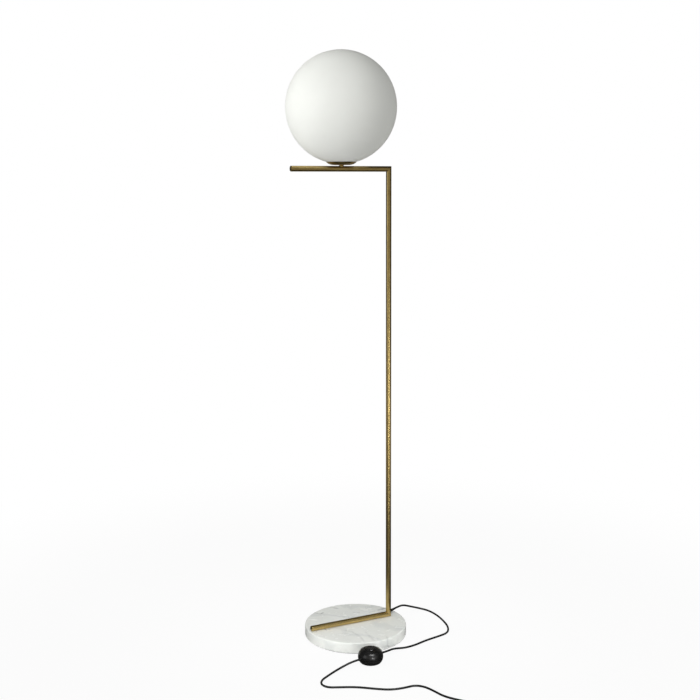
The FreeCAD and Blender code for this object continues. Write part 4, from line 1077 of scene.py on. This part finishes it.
class LAMP_OT_stage(bpy.types.Operator):
    """Builds the floor, the lights, the background and the camera"""
    bl_idname = "lamp.stage"
    bl_label = "Stage"

    def execute(self, context):
        self.camera(context)
        self.floor(context)
        self.world(context)
        self.lights(context)
        self.cards(context)
        context.scene.view_settings.view_transform = "Standard"
        return {"FINISHED"}

    def camera(self, context):
        data = bpy.data.cameras.new("camera")
        data.sensor_width = SENSOR
        data.lens = SENSOR * FOCAL_PIXELS / FRAME_PIXELS
        data.clip_start = 0.05
        data.clip_end = 100.0
        pitch = math.radians(CAMERA_PITCH)
        roll = math.radians(CAMERA_ROLL)
        level = plan(math.radians(CAMERA_AZIMUTH))
        back = level.cross(UP) * math.cos(pitch) + UP * math.sin(pitch)
        upright = back.cross(level)
        right = level * math.cos(roll) + upright * math.sin(roll)
        up = upright * math.cos(roll) - level * math.sin(roll)
        camera = link("camera", data)
        turn = Matrix((right, up, back)).transposed().to_4x4()
        camera.matrix_world = Matrix.Translation(CAMERA_PLACE) @ turn
        context.scene.camera = camera

    def floor(self, context):
        settings = context.scene.stage
        shape = bmesh.new()
        bmesh.ops.create_grid(shape, x_segments=1, y_segments=1, size=FLOOR_REACH)
        floor = from_bmesh("floor", shape, outward=False)
        material, tree, shader, where = new_material("pale_floor", {"Roughness": 0.9})
        colour = settings.floor_colour
        patch = effect(tree, "Mottle", where, Scale=3.0, Low=0.3, High=0.7)["Mask"]
        feed(tree, shader, {"Base Color": mixed(tree, patch, colour, toned(colour, 0.98))})
        white = add(tree, "ShaderNodeEmission", {"Color": WHITE, "Strength": 1.0})
        shading = ranged(tree, vectors(tree, "LENGTH", where), settings.shadow_strength, 0.0,
                         *SHADING_ENDS, ease="SMOOTHSTEP")
        share = maths(tree, "MULTIPLY", seen_by_ray(tree), maths(tree, "SUBTRACT", 1.0, shading))
        blend = add(tree, "ShaderNodeMixShader", {0: share, 1: shader.outputs[0], 2: white.outputs[0]})
        feed(tree, tree.nodes["Material Output"], {"Surface": blend.outputs[0]})
        floor.data.materials.append(material)

    def world(self, context):
        world = bpy.data.worlds.new("studio")
        context.scene.world = world
        world.use_nodes = True
        tree = world.node_tree
        fill = feed(tree, tree.nodes["Background"], {
            "Color": FILL_WHITE, "Strength": context.scene.stage.fill_strength})
        white = add(tree, "ShaderNodeBackground", {"Color": WHITE, "Strength": 1.0})
        blend = add(tree, "ShaderNodeMixShader", {
            0: seen_by_ray(tree), 1: fill.outputs[0], 2: white.outputs[0]})
        feed(tree, tree.nodes["World Output"], {"Surface": blend.outputs[0]})

    def lights(self, context):
        """Soft boxes: angle, distance, height, height aimed at, width, height of the box and spread."""
        settings = context.scene.stage
        for name, aside, distance, height, target_z, width, tall, spread, power in (
                ("key_softbox", -44.0, 2.6, 1.85, 1.55, 1.4, 2.2, 64.0, settings.key_power),
                ("rim_softbox", -104.0, 2.6, 1.55, 1.50, 1.0, 2.2, 70.0, settings.rim_power),
                ("base_softbox", 20.0, 1.26, 1.80, 0.0, 1.2, 0.8, 40.0, settings.base_power),
                ("low_softbox", 20.0, 2.3, 0.20, 0.03, 1.1, 0.34, 50.0, settings.low_power)):
            data = bpy.data.lights.new(name, "AREA")
            data.shape = "RECTANGLE"
            data.size = width
            data.size_y = tall
            data.spread = math.radians(spread)
            data.energy = power
            lamp = link(name, data)
            lamp.visible_glossy = name not in ("key_softbox", "rim_softbox")
            lamp.location = round_stage(aside, distance, height)
            lamp.rotation_mode = "QUATERNION"
            lamp.rotation_quaternion = (UP * target_z - lamp.location).to_track_quat("-Z", "Y")

    def cards(self, context):
        """Cards round the stage, seen only in reflections, so that the brass has dark edges."""
        settings = context.scene.stage
        dark = settings.card_brightness
        for name, first, last, glow in (
                ("card_right", 62.0, 128.0, dark), ("card_left", -136.0, -68.0, dark),
                ("card_front", -40.0, 62.0, settings.front_brightness),
                ("card_back", 128.0, 224.0, settings.back_brightness)):
            wall = bmesh.new()
            rows = []
            for step in range(CARD_STEPS + 1):
                aside = first + (last - first) * step / CARD_STEPS
                rows.append([wall.verts.new(round_stage(aside, CARD_DISTANCE, height))
                             for height in (0.0, CARD_HEIGHT)])
            for one, two in zip(rows, rows[1:]):
                wall.faces.new((one[0], two[0], two[1], one[1]))
            self.card(name, wall, glow)
        for name, radius, height, glow in (
                ("card_roof", CARD_DISTANCE, CARD_HEIGHT, dark), ("card_ground", 1.25, 0.0003, dark),
                ("card_far_ground", CARD_DISTANCE, 0.0002, settings.front_brightness)):
            disc = bmesh.new()
            bmesh.ops.create_circle(disc, cap_ends=True, segments=64, radius=radius,
                                    matrix=Matrix.Translation((0, 0, height)))
            self.card(name, disc, glow)

    def card(self, name, shape, glow):
        """One card of an even brightness that only reflections see."""
        material = bpy.data.materials.new(name)
        material.use_nodes = True
        tree = material.node_tree
        tree.nodes.clear()
        light = add(tree, "ShaderNodeEmission", {"Color": WARM_WHITE, "Strength": glow})
        add(tree, "ShaderNodeOutputMaterial", {"Surface": light.outputs[0]})
        card = from_bmesh(name, shape, outward=False)
        card.data.materials.append(material)
        for kind in ("camera", "diffuse", "transmission", "shadow", "volume_scatter"):
            setattr(card, "visible_" + kind, False)


class LAMP_PT_panel(bpy.types.Panel):
    """Lists the lamp's pieces and settings"""
    bl_idname = "LAMP_PT_panel"
    bl_label = "Globe floor lamp"
    bl_space_type = "VIEW_3D"
    bl_region_type = "UI"
    bl_category = "Lamp"

    def draw(self, context):
        for operator in OPERATORS:
            self.layout.operator(operator.bl_idname)
        for settings in (context.scene.lamp, context.scene.stage):
            for key in settings.bl_rna.properties.keys():
                if key not in ("rna_type", "name"):
                    self.layout.prop(settings, key)


OPERATORS = (LAMP_OT_stage, LAMP_OT_cords, LAMP_OT_plug, LAMP_OT_strain_relief, LAMP_OT_base,
             LAMP_OT_frame_tubes, LAMP_OT_dish, LAMP_OT_globe, LAMP_OT_foot_switch, LAMP_OT_inner_parts)
CLASSES = (LampSettings, StageSettings, *OPERATORS, LAMP_PT_panel)


def register():
    for item in CLASSES:
        bpy.utils.register_class(item)
    bpy.types.Scene.lamp = PointerProperty(type=LampSettings)
    bpy.types.Scene.stage = PointerProperty(type=StageSettings)


def unregister():
    del bpy.types.Scene.lamp
    del bpy.types.Scene.stage
    for item in reversed(CLASSES):
        bpy.utils.unregister_class(item)


def main():
    register()
    MATERIALS.update(make_materials())
    for operator in OPERATORS:
        category, name = operator.bl_idname.split(".")
        getattr(getattr(bpy.ops, category), name)()
    declare_cords()


if __name__ == "__main__":
    main()
